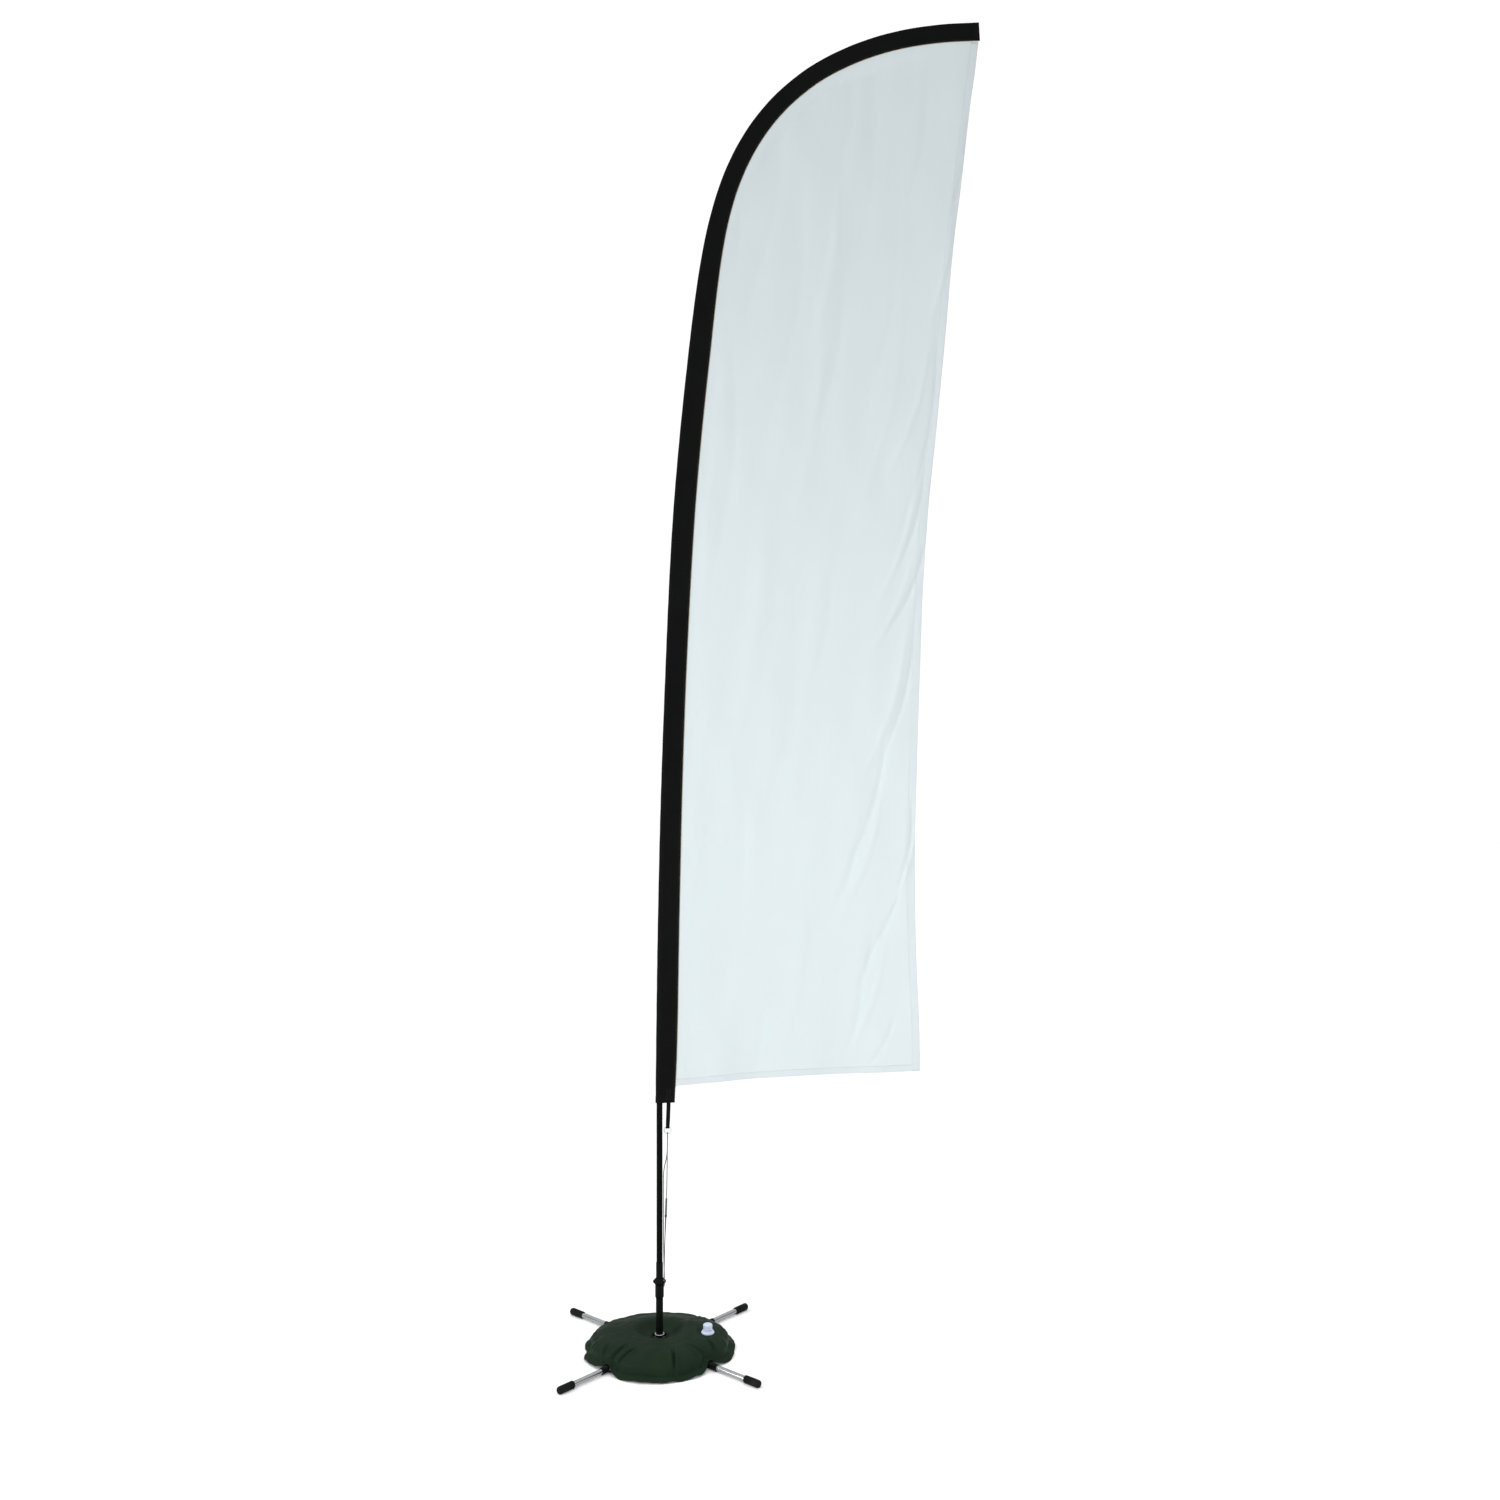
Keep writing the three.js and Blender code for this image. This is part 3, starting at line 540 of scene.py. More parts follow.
THREAD_TAN = Look("thread_tan", (0.47, 0.40, 0.29), 0.6, specular=0.3)
THREAD_TAN.tint(THREAD_TAN.noise(180, 2), 0.8, 1.15).bump(THREAD_TAN.wave(900, "Z", 1.0), 0.06)
THREAD_WHITE = Look("thread_white", (0.66, 0.70, 0.70), 0.6, specular=0.3)
THREAD_WHITE.tint(THREAD_WHITE.noise(180, 2), 0.92, 1.05).bump(THREAD_WHITE.wave(900, "Z", 1.0), 0.06)
THREAD_BLACK = Look("thread_black", (0.012, 0.012, 0.012), 0.5, specular=0.4)
THREAD_BLACK.tint(THREAD_BLACK.noise(180, 2), 0.7, 1.3).bump(THREAD_BLACK.wave(900, "Z", 1.0), 0.06)

CORD = Look("cord_braid", (0.066, 0.073, 0.062), 0.8, specular=0.25, sheen=0.1)
_b = CORD.mix(0.5, CORD.voronoi(900), CORD.noise(420, 2))
CORD.tint(_b, 0.62, 1.35).bump(CORD.noise(900, 2), 0.12).rough(CORD.noise(60), 0.7, 0.9)
WHIPPING = Look("cord_whipping", (0.014, 0.016, 0.014), 0.6, specular=0.2)
WHIPPING.tint(WHIPPING.noise(200, 2), 0.7, 1.4).bump(WHIPPING.wave(520, "Z", 0.4), 0.15)

SLIDER = Look("slider_nylon", (0.075, 0.092, 0.075), 0.42, specular=0.4)
SLIDER.tint(SLIDER.noise(35, 4), 0.85, 1.18).bump(SLIDER.noise(450, 3), 0.04).rough(SLIDER.noise(70), 0.34, 0.55)
RING = Look("ring_nylon", (0.60, 0.655, 0.61), 0.3, specular=0.45, ior=1.5)
RING.tint(RING.noise(40, 3), 0.95, 1.02).bump(RING.noise(260, 2), 0.03).rough(RING.noise(60), 0.22, 0.4)

POLE = Look("pole_composite", (0.0024, 0.0028, 0.0025), 0.5, specular=0.03)
_wrap = POLE.noise(420, 3, 0.6, vec=POLE.scaled(1, 1, 0.05))
POLE.tint(POLE.mix(0.5, _wrap, POLE.noise(30, 5)), 0.6, 1.7).bump(_wrap, 0.03).bump(POLE.noise(900, 3), 0.02)
POLE.rough(POLE.noise(14, 4, 0.6, vec=POLE.scaled(1, 1, 0.15)), 0.26, 0.46)

FERRULE = Look("ferrule_anodised", (0.03, 0.031, 0.033), 0.36, metallic=0.85)
FERRULE.bump(FERRULE.noise(30, 3, vec=FERRULE.scaled(1, 1, 30)), 0.02).rough(FERRULE.noise(80), 0.3, 0.46)
PLASTIC = Look("moulded_black", (0.003, 0.0034, 0.0032), 0.55, specular=0.07)
PLASTIC.tint(PLASTIC.noise(22, 4), 0.75, 1.4).bump(PLASTIC.voronoi(1500), 0.02).rough(PLASTIC.noise(45, 4), 0.38, 0.56)
POWDER = Look("powder_coat_black", (0.003, 0.0034, 0.0032), 0.5, specular=0.07)
POWDER.tint(POWDER.noise(28, 5), 0.7, 1.5).bump(POWDER.noise(900, 3, 0.6), 0.05).bump(POWDER.noise(120, 3), 0.05)
POWDER.rough(POWDER.noise(40, 4), 0.34, 0.55)
STEEL = Look("steel_zinc", (0.50, 0.51, 0.52), 0.34, metallic=1.0)
STEEL.tint(STEEL.noise(60, 4), 0.88, 1.06).bump(STEEL.noise(40, 2, vec=STEEL.scaled(1, 1, 25)), 0.015).rough(STEEL.noise(55, 4), 0.26, 0.44)
CHROME = Look("chrome_tube", (0.36, 0.375, 0.38), 0.2, metallic=1.0)
CHROME.tint(CHROME.noise(18, 4), 0.93, 1.03).bump(CHROME.noise(420, 2), 0.008).rough(CHROME.noise(25, 5, 0.65), 0.12, 0.26)
RUBBER = Look("rubber_black", (0.004, 0.0044, 0.0042), 0.75, specular=0.14)
RUBBER.tint(RUBBER.noise(30, 4), 0.7, 1.7).bump(RUBBER.noise(700, 3), 0.05).rough(RUBBER.noise(36, 4), 0.62, 0.85)

BAG = Look("bag_vinyl", (0.0095, 0.0200, 0.0108), 0.5, specular=0.06, coat=0.0)
_scrim = BAG.math("MULTIPLY", BAG.math("ADD", BAG.wave(1000 / 1.6 * TAU / 20, "X"), BAG.wave(1000 / 1.6 * TAU / 20, "Y")), 0.5)
_dirt = BAG.noise(7, 6, 0.6)
BAG.tint(BAG.mix(0.25, _dirt, _scrim), 0.78, 1.22).bump(_scrim, 0.05).bump(BAG.noise(38, 5, 0.6), 0.5).bump(BAG.noise(240, 3), 0.06)
BAG.rough(BAG.noise(16, 5, 0.6), 0.46, 0.66)
WHITE = Look("valve_polyethylene", (0.54, 0.61, 0.75), 0.3, specular=0.45)
WHITE.tint(WHITE.noise(40, 4), 0.94, 1.03).bump(WHITE.noise(300, 3), 0.03).rough(WHITE.noise(60, 3), 0.24, 0.42)

NODE_LOOK = {
    "sail_fabric": SAIL, "sleeve_fabric": SLEEVE, "webbing": WEB, "ring_plastic": RING, "cord": CORD,
    "slider_plastic": SLIDER, "pole_composite": POLE, "ferrule_metal": FERRULE, "black_plastic": PLASTIC,
    "powder_coat": POWDER, "steel": STEEL, "chrome": CHROME, "rubber": RUBBER, "bag_vinyl": BAG,
    "white_plastic": WHITE,
}
for row in frame["record"]["subparts"]:
    ob = frame["nodes"].get(row["node"])
    if ob is not None:
        while len(ob.data.materials) < 1:
            ob.data.materials.append(None)
        for k in range(len(ob.data.materials)):
            ob.data.materials[k] = NODE_LOOK[row["material_slot"]].m

# ------------------------------------------------------------------ the tension cord
route = catmull(CORD_ROUTE, 24)
CORD_LINE = respaced(route, 0.6)


def braid(s, a):
    """Radius of the braided sheath: two families of strands that cross."""
    k = math.pi / 3.6
    return 1.39 + 0.18 * np.sqrt(np.abs(np.sin(2 * a + k * s) * np.sin(2 * a - k * s)) + 1e-6)


co, faces = tube_co(CORD_LINE, braid, seg=24)
cord = make("cord_braided", co, faces, CORD.m, angle=60)
finish_piece(cord, "mast", ["tension_cord"])

# the knot is a barrel of turns, the whipping under it tapers onto the cord
run_from, run_to = np.array(CORD_ROUTE[6]), np.array(CORD_ROUTE[8])
run_dir = (run_to - run_from) / np.linalg.norm(run_to - run_from)


def on_run(co):
    """A piece along +Z put on the cord's straight run, its zero at the run's start."""
    q = Vector((0, 0, 1)).rotation_difference(Vector(run_dir)).to_matrix()
    return np.asarray(co) @ np.array(q).T + run_from


turns = np.linspace(0, 1, 130)
helix = np.stack([2.75 * np.cos(turns * TAU * 4), 2.75 * np.sin(turns * TAU * 4), -4.0 + 8.2 * turns], axis=1)
knot_parts = [tube_co(helix, lambda s, a: 1.22 + 0 * s * a, seg=10)]
knot_parts.append(tube_co(np.array([[1.2, 0.5, -5.2], [2.6, 0.9, -3.2], [3.0, 1.4, 0], [2.6, 1.0, 3.4], [1.1, 0.4, 5.4]]), 1.0, seg=8))
co, faces = merged(knot_parts)
knot = make("cord_stopper_knot", on_run(co), faces, WHIPPING.m, angle=60)
finish_piece(knot, "mast", ["cord_knot"])

below = np.array([i for i in range(len(CORD_LINE)) if 405 < CORD_LINE[i, 2] < 455.5 and CORD_LINE[i, 1] < 0])
taper_line = CORD_LINE[below]
taper_s = arclength(taper_line)
wraps = lambda s, a: 1.72 + 0.75 * (s / taper_s[-1]) ** 1.4 + 0.09 * np.sin(TAU * s / 1.1 + a)
co, faces = tube_co(taper_line, wraps, seg=16)
whipping = make("cord_whipping", co, faces, WHIPPING.m, angle=60)
finish_piece(whipping, "mast")

for tag, sign in (("a", -1), ("b", 1)):
    t = np.linspace(0, TAU, 121)[:-1]
    trefoil = np.stack([(1.25 + 0.62 * np.cos(3 * t)) * np.cos(2 * t), (1.25 + 0.62 * np.cos(3 * t)) * np.sin(2 * t), 0.95 * np.sin(3 * t)], axis=1)
    t_line = np.vstack([trefoil, trefoil[:1]])
    stub = np.array([[0.2, 0.1, -1.0], [0.5, -0.2, -3.4], [0.9, -0.1, -6.5]])
    co, faces = merged([tube_co(trefoil, 0.95, seg=10, closed=True), tube_co(stub, 0.95, seg=10)])
    k = make("cord_tail_knot_" + tag, co + np.array([16.108, sign * 9.3, 222.6]), faces, CORD.m, angle=60)
    finish_piece(k, "mast", ["cord_end_knot_" + tag])

# the slider: a grey-green nylon tube with grip rings
slider_profile = [(2.0, 6), (3.0, 6), (3.55, 7.2), (3.55, 9)]
for k in range(9):
    z = 12 + 4.8 * k
    slider_profile += [(3.7, z - 1.1), (3.7, z + 1.0), (3.28, z + 1.5), (3.28, z + 2.9)]
slider_profile += [(3.62, 56), (3.3, 58.6), (2.9, 60), (2.0, 60), (2.0, 6)]
slider = lathe("cord_slider", slider_profile, SLIDER.m, seg=32, place=on_run, r=0.35, n=2)
finish_piece(slider, "cord_lock", ["cord_lock"])

# ------------------------------------------------------------------ ring and strap
t = np.arange(96) * TAU / 96
ring_line = np.stack([27.9 + 12 * np.cos(t), 0 * t, 754.1 + 12 * np.sin(t)], axis=1)
co, faces = tube_co(ring_line, lambda s, a: 1.97 + 0.06 * np.exp(-((np.sin(a)) / 0.12) ** 2) + 0 * s, seg=24, closed=True)
ring = make("tension_ring", co, faces, RING.m, angle=60)
finish_piece(ring, "mast", ["strap_ring"])

side = [(-1.5, 905), (-1.5, 870), (-1.6, 842), (-2.6, 805), (-3.4, 780), (-3.4, 765)]
bottom = [(3.4 * math.cos(math.pi + math.pi * i / 12), 763.2 + 3.4 * math.sin(math.pi + math.pi * i / 12)) for i in range(1, 12)]
strap_yz = respaced(catmull(side + bottom + [(-y, z) for y, z in reversed(side)], 10), 0.6)
sx = np.interp(strap_yz[:, 1], [754, 843, 905], [27.9, 31.2, 32.6])
tang = np.gradient(strap_yz, axis=0)
tang /= np.linalg.norm(tang, axis=1)[:, None]
strap_s = arclength(strap_yz)
across = [-7.0, -6.6, -5.9, -4.4, -2.2, 0, 2.2, 4.4, 5.9, 6.6, 7.0]
rows = []
for i in range(len(strap_yz)):
    rib = 0.09 * math.sin(TAU * strap_s[i] / 2.4)
    pinch = 1.0 - 0.10 * math.exp(-(((strap_yz[i, 1] - 763) / 14) ** 2))
    ring_pts = []
    for sign, xs in ((1, across), (-1, across[::-1][1:-1])):
        for x in xs:
            edge = max(0.0, (abs(x) - 5.9) / 1.1)
            h = sign * (0.52 + rib * (1 - edge)) * math.sqrt(max(0.0, 1 - edge**2)) if edge < 1 else 0.0
            ring_pts.append((sx[i] + x * pinch, strap_yz[i, 0] - tang[i, 1] * h, strap_yz[i, 1] + tang[i, 0] * h))
    rows.append(ring_pts)
rows = np.array(rows)
n_ring = rows.shape[1]
co, faces = rows.reshape(-1, 3), grid_faces(len(rows), n_ring, wrap=True)
faces += [list(range(n_ring)), [(len(rows) - 1) * n_ring + j for j in range(n_ring)]]
strap = make("webbing_strap", co, faces, WEB.m, angle=50)
finish_piece(strap, "mast", ["tension_strap"])

# ------------------------------------------------------------------ pole
def pole_tube(name, s0, s1, r0, r1, bore, seg, material, step=18.0):
    n = max(2, int((s1 - s0) / step))
    st = np.linspace(s0, s1, n + 1)
    r = r0 + (r1 - r0) * (st - s0) / (s1 - s0)
    outer = [(r[0] - 0.35, s0), (r[0], s0 + 0.5), *zip(r[1:-1], st[1:-1]), (r[-1], s1 - 0.5), (r[-1] - 0.35, s1)]
    if bore:
        profile = [*outer, (bore, s1), *[(bore, q) for q in st[::-4]], (bore, s0), outer[0]]
    else:
        profile = [(0, s0), *outer, (0, s1)]
    return lathe(name, profile, material, seg=seg, r=0, place=lambda c: on_mast(c[:, 2], c[:, 0], c[:, 1]))


pole1 = pole_tube("pole_lower", 0.2, 1240, 10.4, 10.4, 9.3, 48, POLE.m)
finish_piece(pole1, "mast", ["pole_section_1"])

ferrule_profile = [
    (10.75, 246.6), (12.05, 246.6), (12.1, 250), (12.1, 262), (11.75, 262.8), (11.75, 265), (12.1, 265.8),
    (12.1, 290), (11.75, 290.8), (11.75, 293), (12.1, 293.8), (11.8, 298), (11.1, 299), (10.75, 299), (10.75, 246.6)]
foot_ferrule = lathe("pole_foot_sleeve", ferrule_profile, PLASTIC.m, seg=64, r=0.4)
finish_piece(foot_ferrule, "mast", ["pole_foot_ferrule"])

collar_profile = [
    (10.75, 174.8), (12.3, 174.8, 0.4), (15, 181.7, 1.2), (15, 221.5, 1.5), (17.2, 226.2, 1.5), (22.4, 230.8, 1.0), (22.4, 235.2, 1.0),
    (17.5, 239.5, 2.0), (12.6, 245.2, 1.0), (12.3, 246, 0.4), (10.75, 246), (10.75, 174.8)]
collar = lathe("flange_collar", collar_profile, PLASTIC.m, seg=72, r=0.3, n=4)
for sign in (-1, 1):
    a = math.radians(30 * sign)
    tool = lathe("tool", [(0, 213), (2.2, 213), (2.2, 255), (0, 255)], PLASTIC.m, seg=20, r=0,
                 place=lambda c, a=a: c + np.array([18.6 * math.cos(a), 18.6 * math.sin(a), 0]))
    boolean(collar, tool, "DIFFERENCE")
finish_piece(collar, "mast", ["pole_collar"])
grommets = []
for sign in (-1, 1):
    a = math.radians(30 * sign)
    x, y = 18.6 * math.cos(a), 18.6 * math.sin(a)
    t = np.arange(28) * TAU / 28
    for z, slope in ((238.6, -0.86), (228.2, 0.85)):
        # a thin rim where the hole breaks through the flange's cone
        loop = np.stack([x + 2.45 * np.cos(t), y + 2.45 * np.sin(t), z + slope * (np.hypot(x + 2.45 * np.cos(t), y + 2.45 * np.sin(t)) - 18.6)], axis=1)
        grommets.append(tube_co(loop, 0.34, seg=8, closed=True))
co, faces = merged(grommets)
rims = make("cord_hole_rims", co, faces, STEEL.m, angle=60)
finish_piece(rims, "mast")

# ------------------------------------------------------------------ rotor
def groove(z):
    return [(8, z - 1.3), (6.7, z - 1.3), (6.7, z + 1.3), (8, z + 1.3)]


rotor_profile = [
    (10.6, 57.3), (11.9, 57.3, 0.4), (12.5, 58.1), (12.5, 64), (12.3, 64.4), (12.3, 65.6), (12.5, 66), (12.5, 168),
    (12.3, 168.4), (12.3, 169.2), (12.5, 169.6), (12.5, 173.2), (11.7, 174.3), (8.0, 174.3), *groove(235), *groove(300),
    (8, 324), (5.5, 330, 1.0), (0, 330)]
rotor_profile = [(0, 166.5), (10.6, 166.5), *rotor_profile]
rotor = lathe("rotor_body", rotor_profile, POWDER.m, seg=64, r=0.3, n=3)
finish_piece(rotor, "rotor", ["rotor_tube"])
for i, z in enumerate((235, 300)):
    t = np.arange(64) * TAU / 64
    loop = np.stack([8 * np.cos(t), 8 * np.sin(t), z + 0 * t], axis=1)
    co, faces = tube_co(loop, 0.95, seg=16, closed=True)
    finish_piece(make(f"o_ring_{i + 1}", co, faces, RUBBER.m, angle=60), "rotor", [f"spigot_oring_{i + 1}"])

# ------------------------------------------------------------------ hub
nut_profile = [(6.45, 42), (16.4, 42), (18, 43.4), (18, 44.8), (17.5, 45.4), (17.5, 50.6), (18, 51.2), (18, 52.6), (16.6, 54), (12.6, 54), (12.3, 53.4), (6.45, 53.4), (6.45, 42)]


def knurl(co):
    """Grip flutes round the nut between its two rims."""
    r = np.hypot(co[:, 0], co[:, 1])
    a = np.arctan2(co[:, 1], co[:, 0])
    band = (r > 17.2) & (co[:, 2] > 45.2) & (co[:, 2] < 50.8)
    k = np.where(band, 1 - 0.012 * (1 + np.cos(36 * a)), 1.0)
    return np.stack([co[:, 0] * k, co[:, 1] * k, co[:, 2]], axis=1)


nut = lathe("hub_nut", nut_profile, CHROME.m, seg=144, r=0.35, n=3, shape=knurl)
finish_piece(nut, "base", ["lock_nut"])
seal = lathe("seal_ring", [(6.45, 54.3), (11.8, 54.3), (11.8, 55.2), (11.3, 55.5), (11.3, 55.9), (11.8, 56.2), (11.8, 57), (6.45, 57), (6.45, 54.3)], RUBBER.m, seg=64, r=0.2)
finish_piece(seal, "base", ["dust_seal"])
spacer = lathe("spacer_sleeve", [(6.45, 20.3), (13.5, 20.3), (13.5, 41.7), (6.45, 41.7), (6.45, 20.3)], POWDER.m, seg=56, r=0.9)
finish_piece(spacer, "base", ["hub_spacer"])
washer = lathe("flat_washer", [(6.45, 18.2), (17, 18.2), (17, 20), (6.45, 20), (6.45, 18.2)], STEEL.m, seg=56, r=0.35)
finish_piece(washer, "base", ["hub_washer"])
foot_profile = [(0, 0), (8, 0), (8.4, 0.5), (11.4, 0.5), (11.8, 0), (30.5, 0), (32, 1.5), (32, 5.7), (13.5, 5.7), (13.5, 1.2), (0, 1.2)]


def foot_ribs(co):
    """Shallow radial grip grooves on the underside."""
    r, a = np.hypot(co[:, 0], co[:, 1]), np.arctan2(co[:, 1], co[:, 0])
    low = (co[:, 2] < 0.3) & (r > 12.5) & (r < 31)
    z = np.where(low & (np.cos(24 * a) > 0.6), 0.35, co[:, 2])
    return np.stack([co[:, 0], co[:, 1], z], axis=1)


fp = [(0, 0), (8, 0), (8.4, 0.5), (11.4, 0.5), (11.8, 0), (13, 0), (18, 0), (24, 0), (30, 0), (31.3, 0.5), (32, 1.7), (32, 5.2), (31.6, 5.7), (13.5, 5.7), (13.5, 1.2), (0, 1.2)]
hub_rubber = lathe("hub_rubber_foot", fp, RUBBER.m, seg=144, r=0, shape=foot_ribs)
finish_piece(hub_rubber, "base", ["hub_foot"])

# ------------------------------------------------------------------ arms, leg tubes, caps, rivets
def arm(name, z, yaw, k_names, body, replaces_arm):
    place = turn_z(yaw)
    # the plate: a strip with a round boss, its rim rounded
    R, h = 30.0, SOCKET_R - 0.6
    a0 = math.asin(h / R)
    outline = [(-72, -h), (-R * math.cos(a0), -h)]
    outline += [(R * math.cos(q), R * math.sin(q)) for q in np.linspace(math.pi + a0, 2 * math.pi - a0, 40)]
    outline += [(72, -h), (72, h)]
    outline += [(R * math.cos(q), R * math.sin(q)) for q in np.linspace(a0, math.pi - a0, 40)]
    outline += [(-72, h)]
    outline = np.array(outline, float)
    inset = outline.copy()
    nxt, prv = np.roll(outline, -1, axis=0), np.roll(outline, 1, axis=0)
    tdir = nxt - prv
    tdir /= np.linalg.norm(tdir, axis=1)[:, None]
    inward = np.stack([-tdir[:, 1], tdir[:, 0]], axis=1)
    layers = []
    for dz, ins in ((0, 0.7), (0.25, 0.2), (0.8, 0), (PLATE_T - 0.8, 0), (PLATE_T - 0.25, 0.2), (PLATE_T, 0.7)):
        layers.append(np.column_stack([outline + inward * ins, np.full(len(outline), z + dz)]))
    m = len(outline)
    co = np.vstack(layers)
    faces = grid_faces(len(layers), m, wrap=True) + [list(range(m)), [(len(layers) - 1) * m + j for j in range(m)]]
    ob = make(name, co, faces, POWDER.m)
    for k in (0, 180):
        tp = [(9.2, 71.5), (9.1, SOCKET_TO), (10.2, SOCKET_TO), (10.8, SOCKET_TO - 0.8), (10.8, SOCKET_TO - 7), (10.55, SOCKET_TO - 7.6),
              (10.55, SOCKET_TO - 9), (10.8, SOCKET_TO - 9.6), (10.8, SOCKET_FROM + 1.2), (9.8, SOCKET_FROM), (0, SOCKET_FROM), (0, 71.5), (9.2, 71.5)]
        tp = [(0, SOCKET_FROM), (9.8, SOCKET_FROM), (10.8, SOCKET_FROM + 1.0), (10.8, SOCKET_TO - 9.6), (10.5, SOCKET_TO - 9.1), (10.5, SOCKET_TO - 7.4),
              (10.8, SOCKET_TO - 6.9), (10.8, SOCKET_TO - 0.8), (10.1, SOCKET_TO), (9.2, SOCKET_TO), (9.1, 72), (0, 72)]
        tube = lathe("tool", tp, POWDER.m, seg=48, r=0, place=lambda c, k=k: turn_z(k)(along_x(LEG_Z)(c)))
        boolean(ob, tube, "UNION")
    for tool in (
        lathe("tool", [(0, 0), (HUB_BORE, 0), (HUB_BORE, 30), (0, 30)], POWDER.m, seg=40, r=0),
        lathe("tool", [(0, 74), (9.1, 74), (9.1, 120), (0, 120)], POWDER.m, seg=48, r=0, place=along_x(LEG_Z)),
        lathe("tool", [(0, 74), (9.1, 74), (9.1, 120), (0, 120)], POWDER.m, seg=48, r=0, place=lambda c: turn_z(180)(along_x(LEG_Z)(c))),
    ):
        boolean(ob, tool, "DIFFERENCE")
    ob.data.transform(Matrix.Rotation(math.radians(yaw), 4, "Z"))
    finish_piece(ob, body, [replaces_arm])
    # weld beads where the plate meets the sockets
    beads = []
    for k in (0, 180):
        for sgn in (-1, 1):
            n = 60
            x = np.linspace(64.6, 73.5, n)
            y = sgn * (h + 0.1) + 0 * x
            line = np.stack([x, y, np.full(n, z + PLATE_T * 0.5)], axis=1)
        q = np.linspace(0.06, math.pi - 0.06, 70)
        up = z + PLATE_T - LEG_Z
        hh = math.sqrt(max(SOCKET_R**2 - up**2, 1.0)) if abs(up) < SOCKET_R else 8.0
        yy = np.linspace(-hh + 0.6, hh - 0.6, 70)
        line = np.stack([np.full(70, 63.6), yy, np.full(70, z + PLATE_T + 0.2)], axis=1)
        co, fs = tube_co(line, lambda s, a: 1.25 + 0.16 * np.sin(TAU * s / 2.1) + 0 * a, seg=12)
        beads.append((turn_z(yaw + k)(co), fs))
    co, faces = merged(beads)
    finish_piece(make(name + "_welds", co, faces, POWDER.m, angle=70), body)
    for k, leg in zip((0, 180), k_names):
        spin = turn_z(yaw + k)
        tube_profile = [(LEG_BORE, 74), (LEG_R - 0.4, 74), (LEG_R, 74.5), (LEG_R, LEG_END - 5), (LEG_R - 0.4, LEG_END - 4.6), (LEG_BORE, LEG_END - 4.6), (LEG_BORE, 74)]
        tube = lathe(f"leg_{leg}", tube_profile, CHROME.m, seg=56, r=0, place=lambda c: spin(along_x(LEG_Z)(c)))
        finish_piece(tube, body, [f"leg_tube_{leg}"])
        c0 = LEG_END - CAP_LEN
        cp = [(LEG_R + 0.3, c0), (FOOT_CAP_R - 1.0, c0, 0.5), (FOOT_CAP_R - 0.1, c0 + 1.2, 0.6)]
        for i in range(4):
            x = c0 + 6 + 3.4 * i
            cp += [(FOOT_CAP_R - 0.1, x - 0.2, 0.2), (FOOT_CAP_R - 0.75, x + 0.35, 0.3), (FOOT_CAP_R - 0.75, x + 1.1, 0.3), (FOOT_CAP_R - 0.1, x + 1.65, 0.2)]
        cp += [(FOOT_CAP_R, LEG_END - 36), (FOOT_CAP_R, LEG_END - 5, 2.0), (FOOT_CAP_R - 2.4, LEG_END - 0.4, 2.4), (4.5, LEG_END, 0.4), (4.2, LEG_END - 0.6, 0.3), (0, LEG_END - 0.6),
               (0, LEG_END - 4.2), (LEG_R + 0.3, LEG_END - 4.2), (LEG_R + 0.3, c0)]

        def flat(c):
            c = spin(along_x(LEG_Z)(c))
            c[:, 2] = np.maximum(c[:, 2], 0.0)
            return c

        # the profile is closed through the axis, so it is turned as an open one from the axis to the axis
        open_profile = cp[-3:-1] + [cp[0]] + cp[1:-3]
        open_profile = [(0, LEG_END - 4.2), (LEG_R + 0.3, LEG_END - 4.2)] + cp[:-3]
        cap = lathe(f"foot_cap_rubber_{leg}", fillet(open_profile, 0.15, 3, closed=False), RUBBER.m, seg=64, r=0, place=flat)
        finish_piece(cap, body, [f"foot_cap_{leg}"])
        rp = fillet([(0, 11.0), (3.25, 11.0, 0.2), (3.1, 11.9, 0.5), (1.9, 12.5, 0.5), (0.8, 12.45), (0.6, 12.2), (0, 12.2)], 0.2, 3, closed=False)
        head, hf = lathe_co(rp, 28)
        head = np.stack([240 + head[:, 0], head[:, 2], LEG_Z - head[:, 1]], axis=1)
        shank, sf = lathe_co([(0, 5.2), (1.55, 5.2), (1.55, 11.3), (0, 11.3)], 16)
        shank = np.stack([240 + shank[:, 0], shank[:, 2], LEG_Z - shank[:, 1]], axis=1)
        co, fs = merged([(spin(head), hf), (spin(shank), sf)])
        finish_piece(make(f"rivet_{leg}", co, fs, STEEL.m, weld=0.001), body, [f"leg_rivet_{leg}"])


arm("arm_lower", LOWER_Z, 45 + BASE_YAW, ("back_right", "front_left"), "base", "lower_arm")
arm("arm_upper", UPPER_Z, 135 + BASE_YAW, ("back_left", "front_right"), "upper_arm", "upper_arm")

# ------------------------------------------------------------------ water bag
def angle_gap(a, b):
    return (a - b + 180.0) % 360.0 - 180.0


def bump_at(az, centre, width):
    return np.exp(-((angle_gap(az, centre) / width) ** 2))


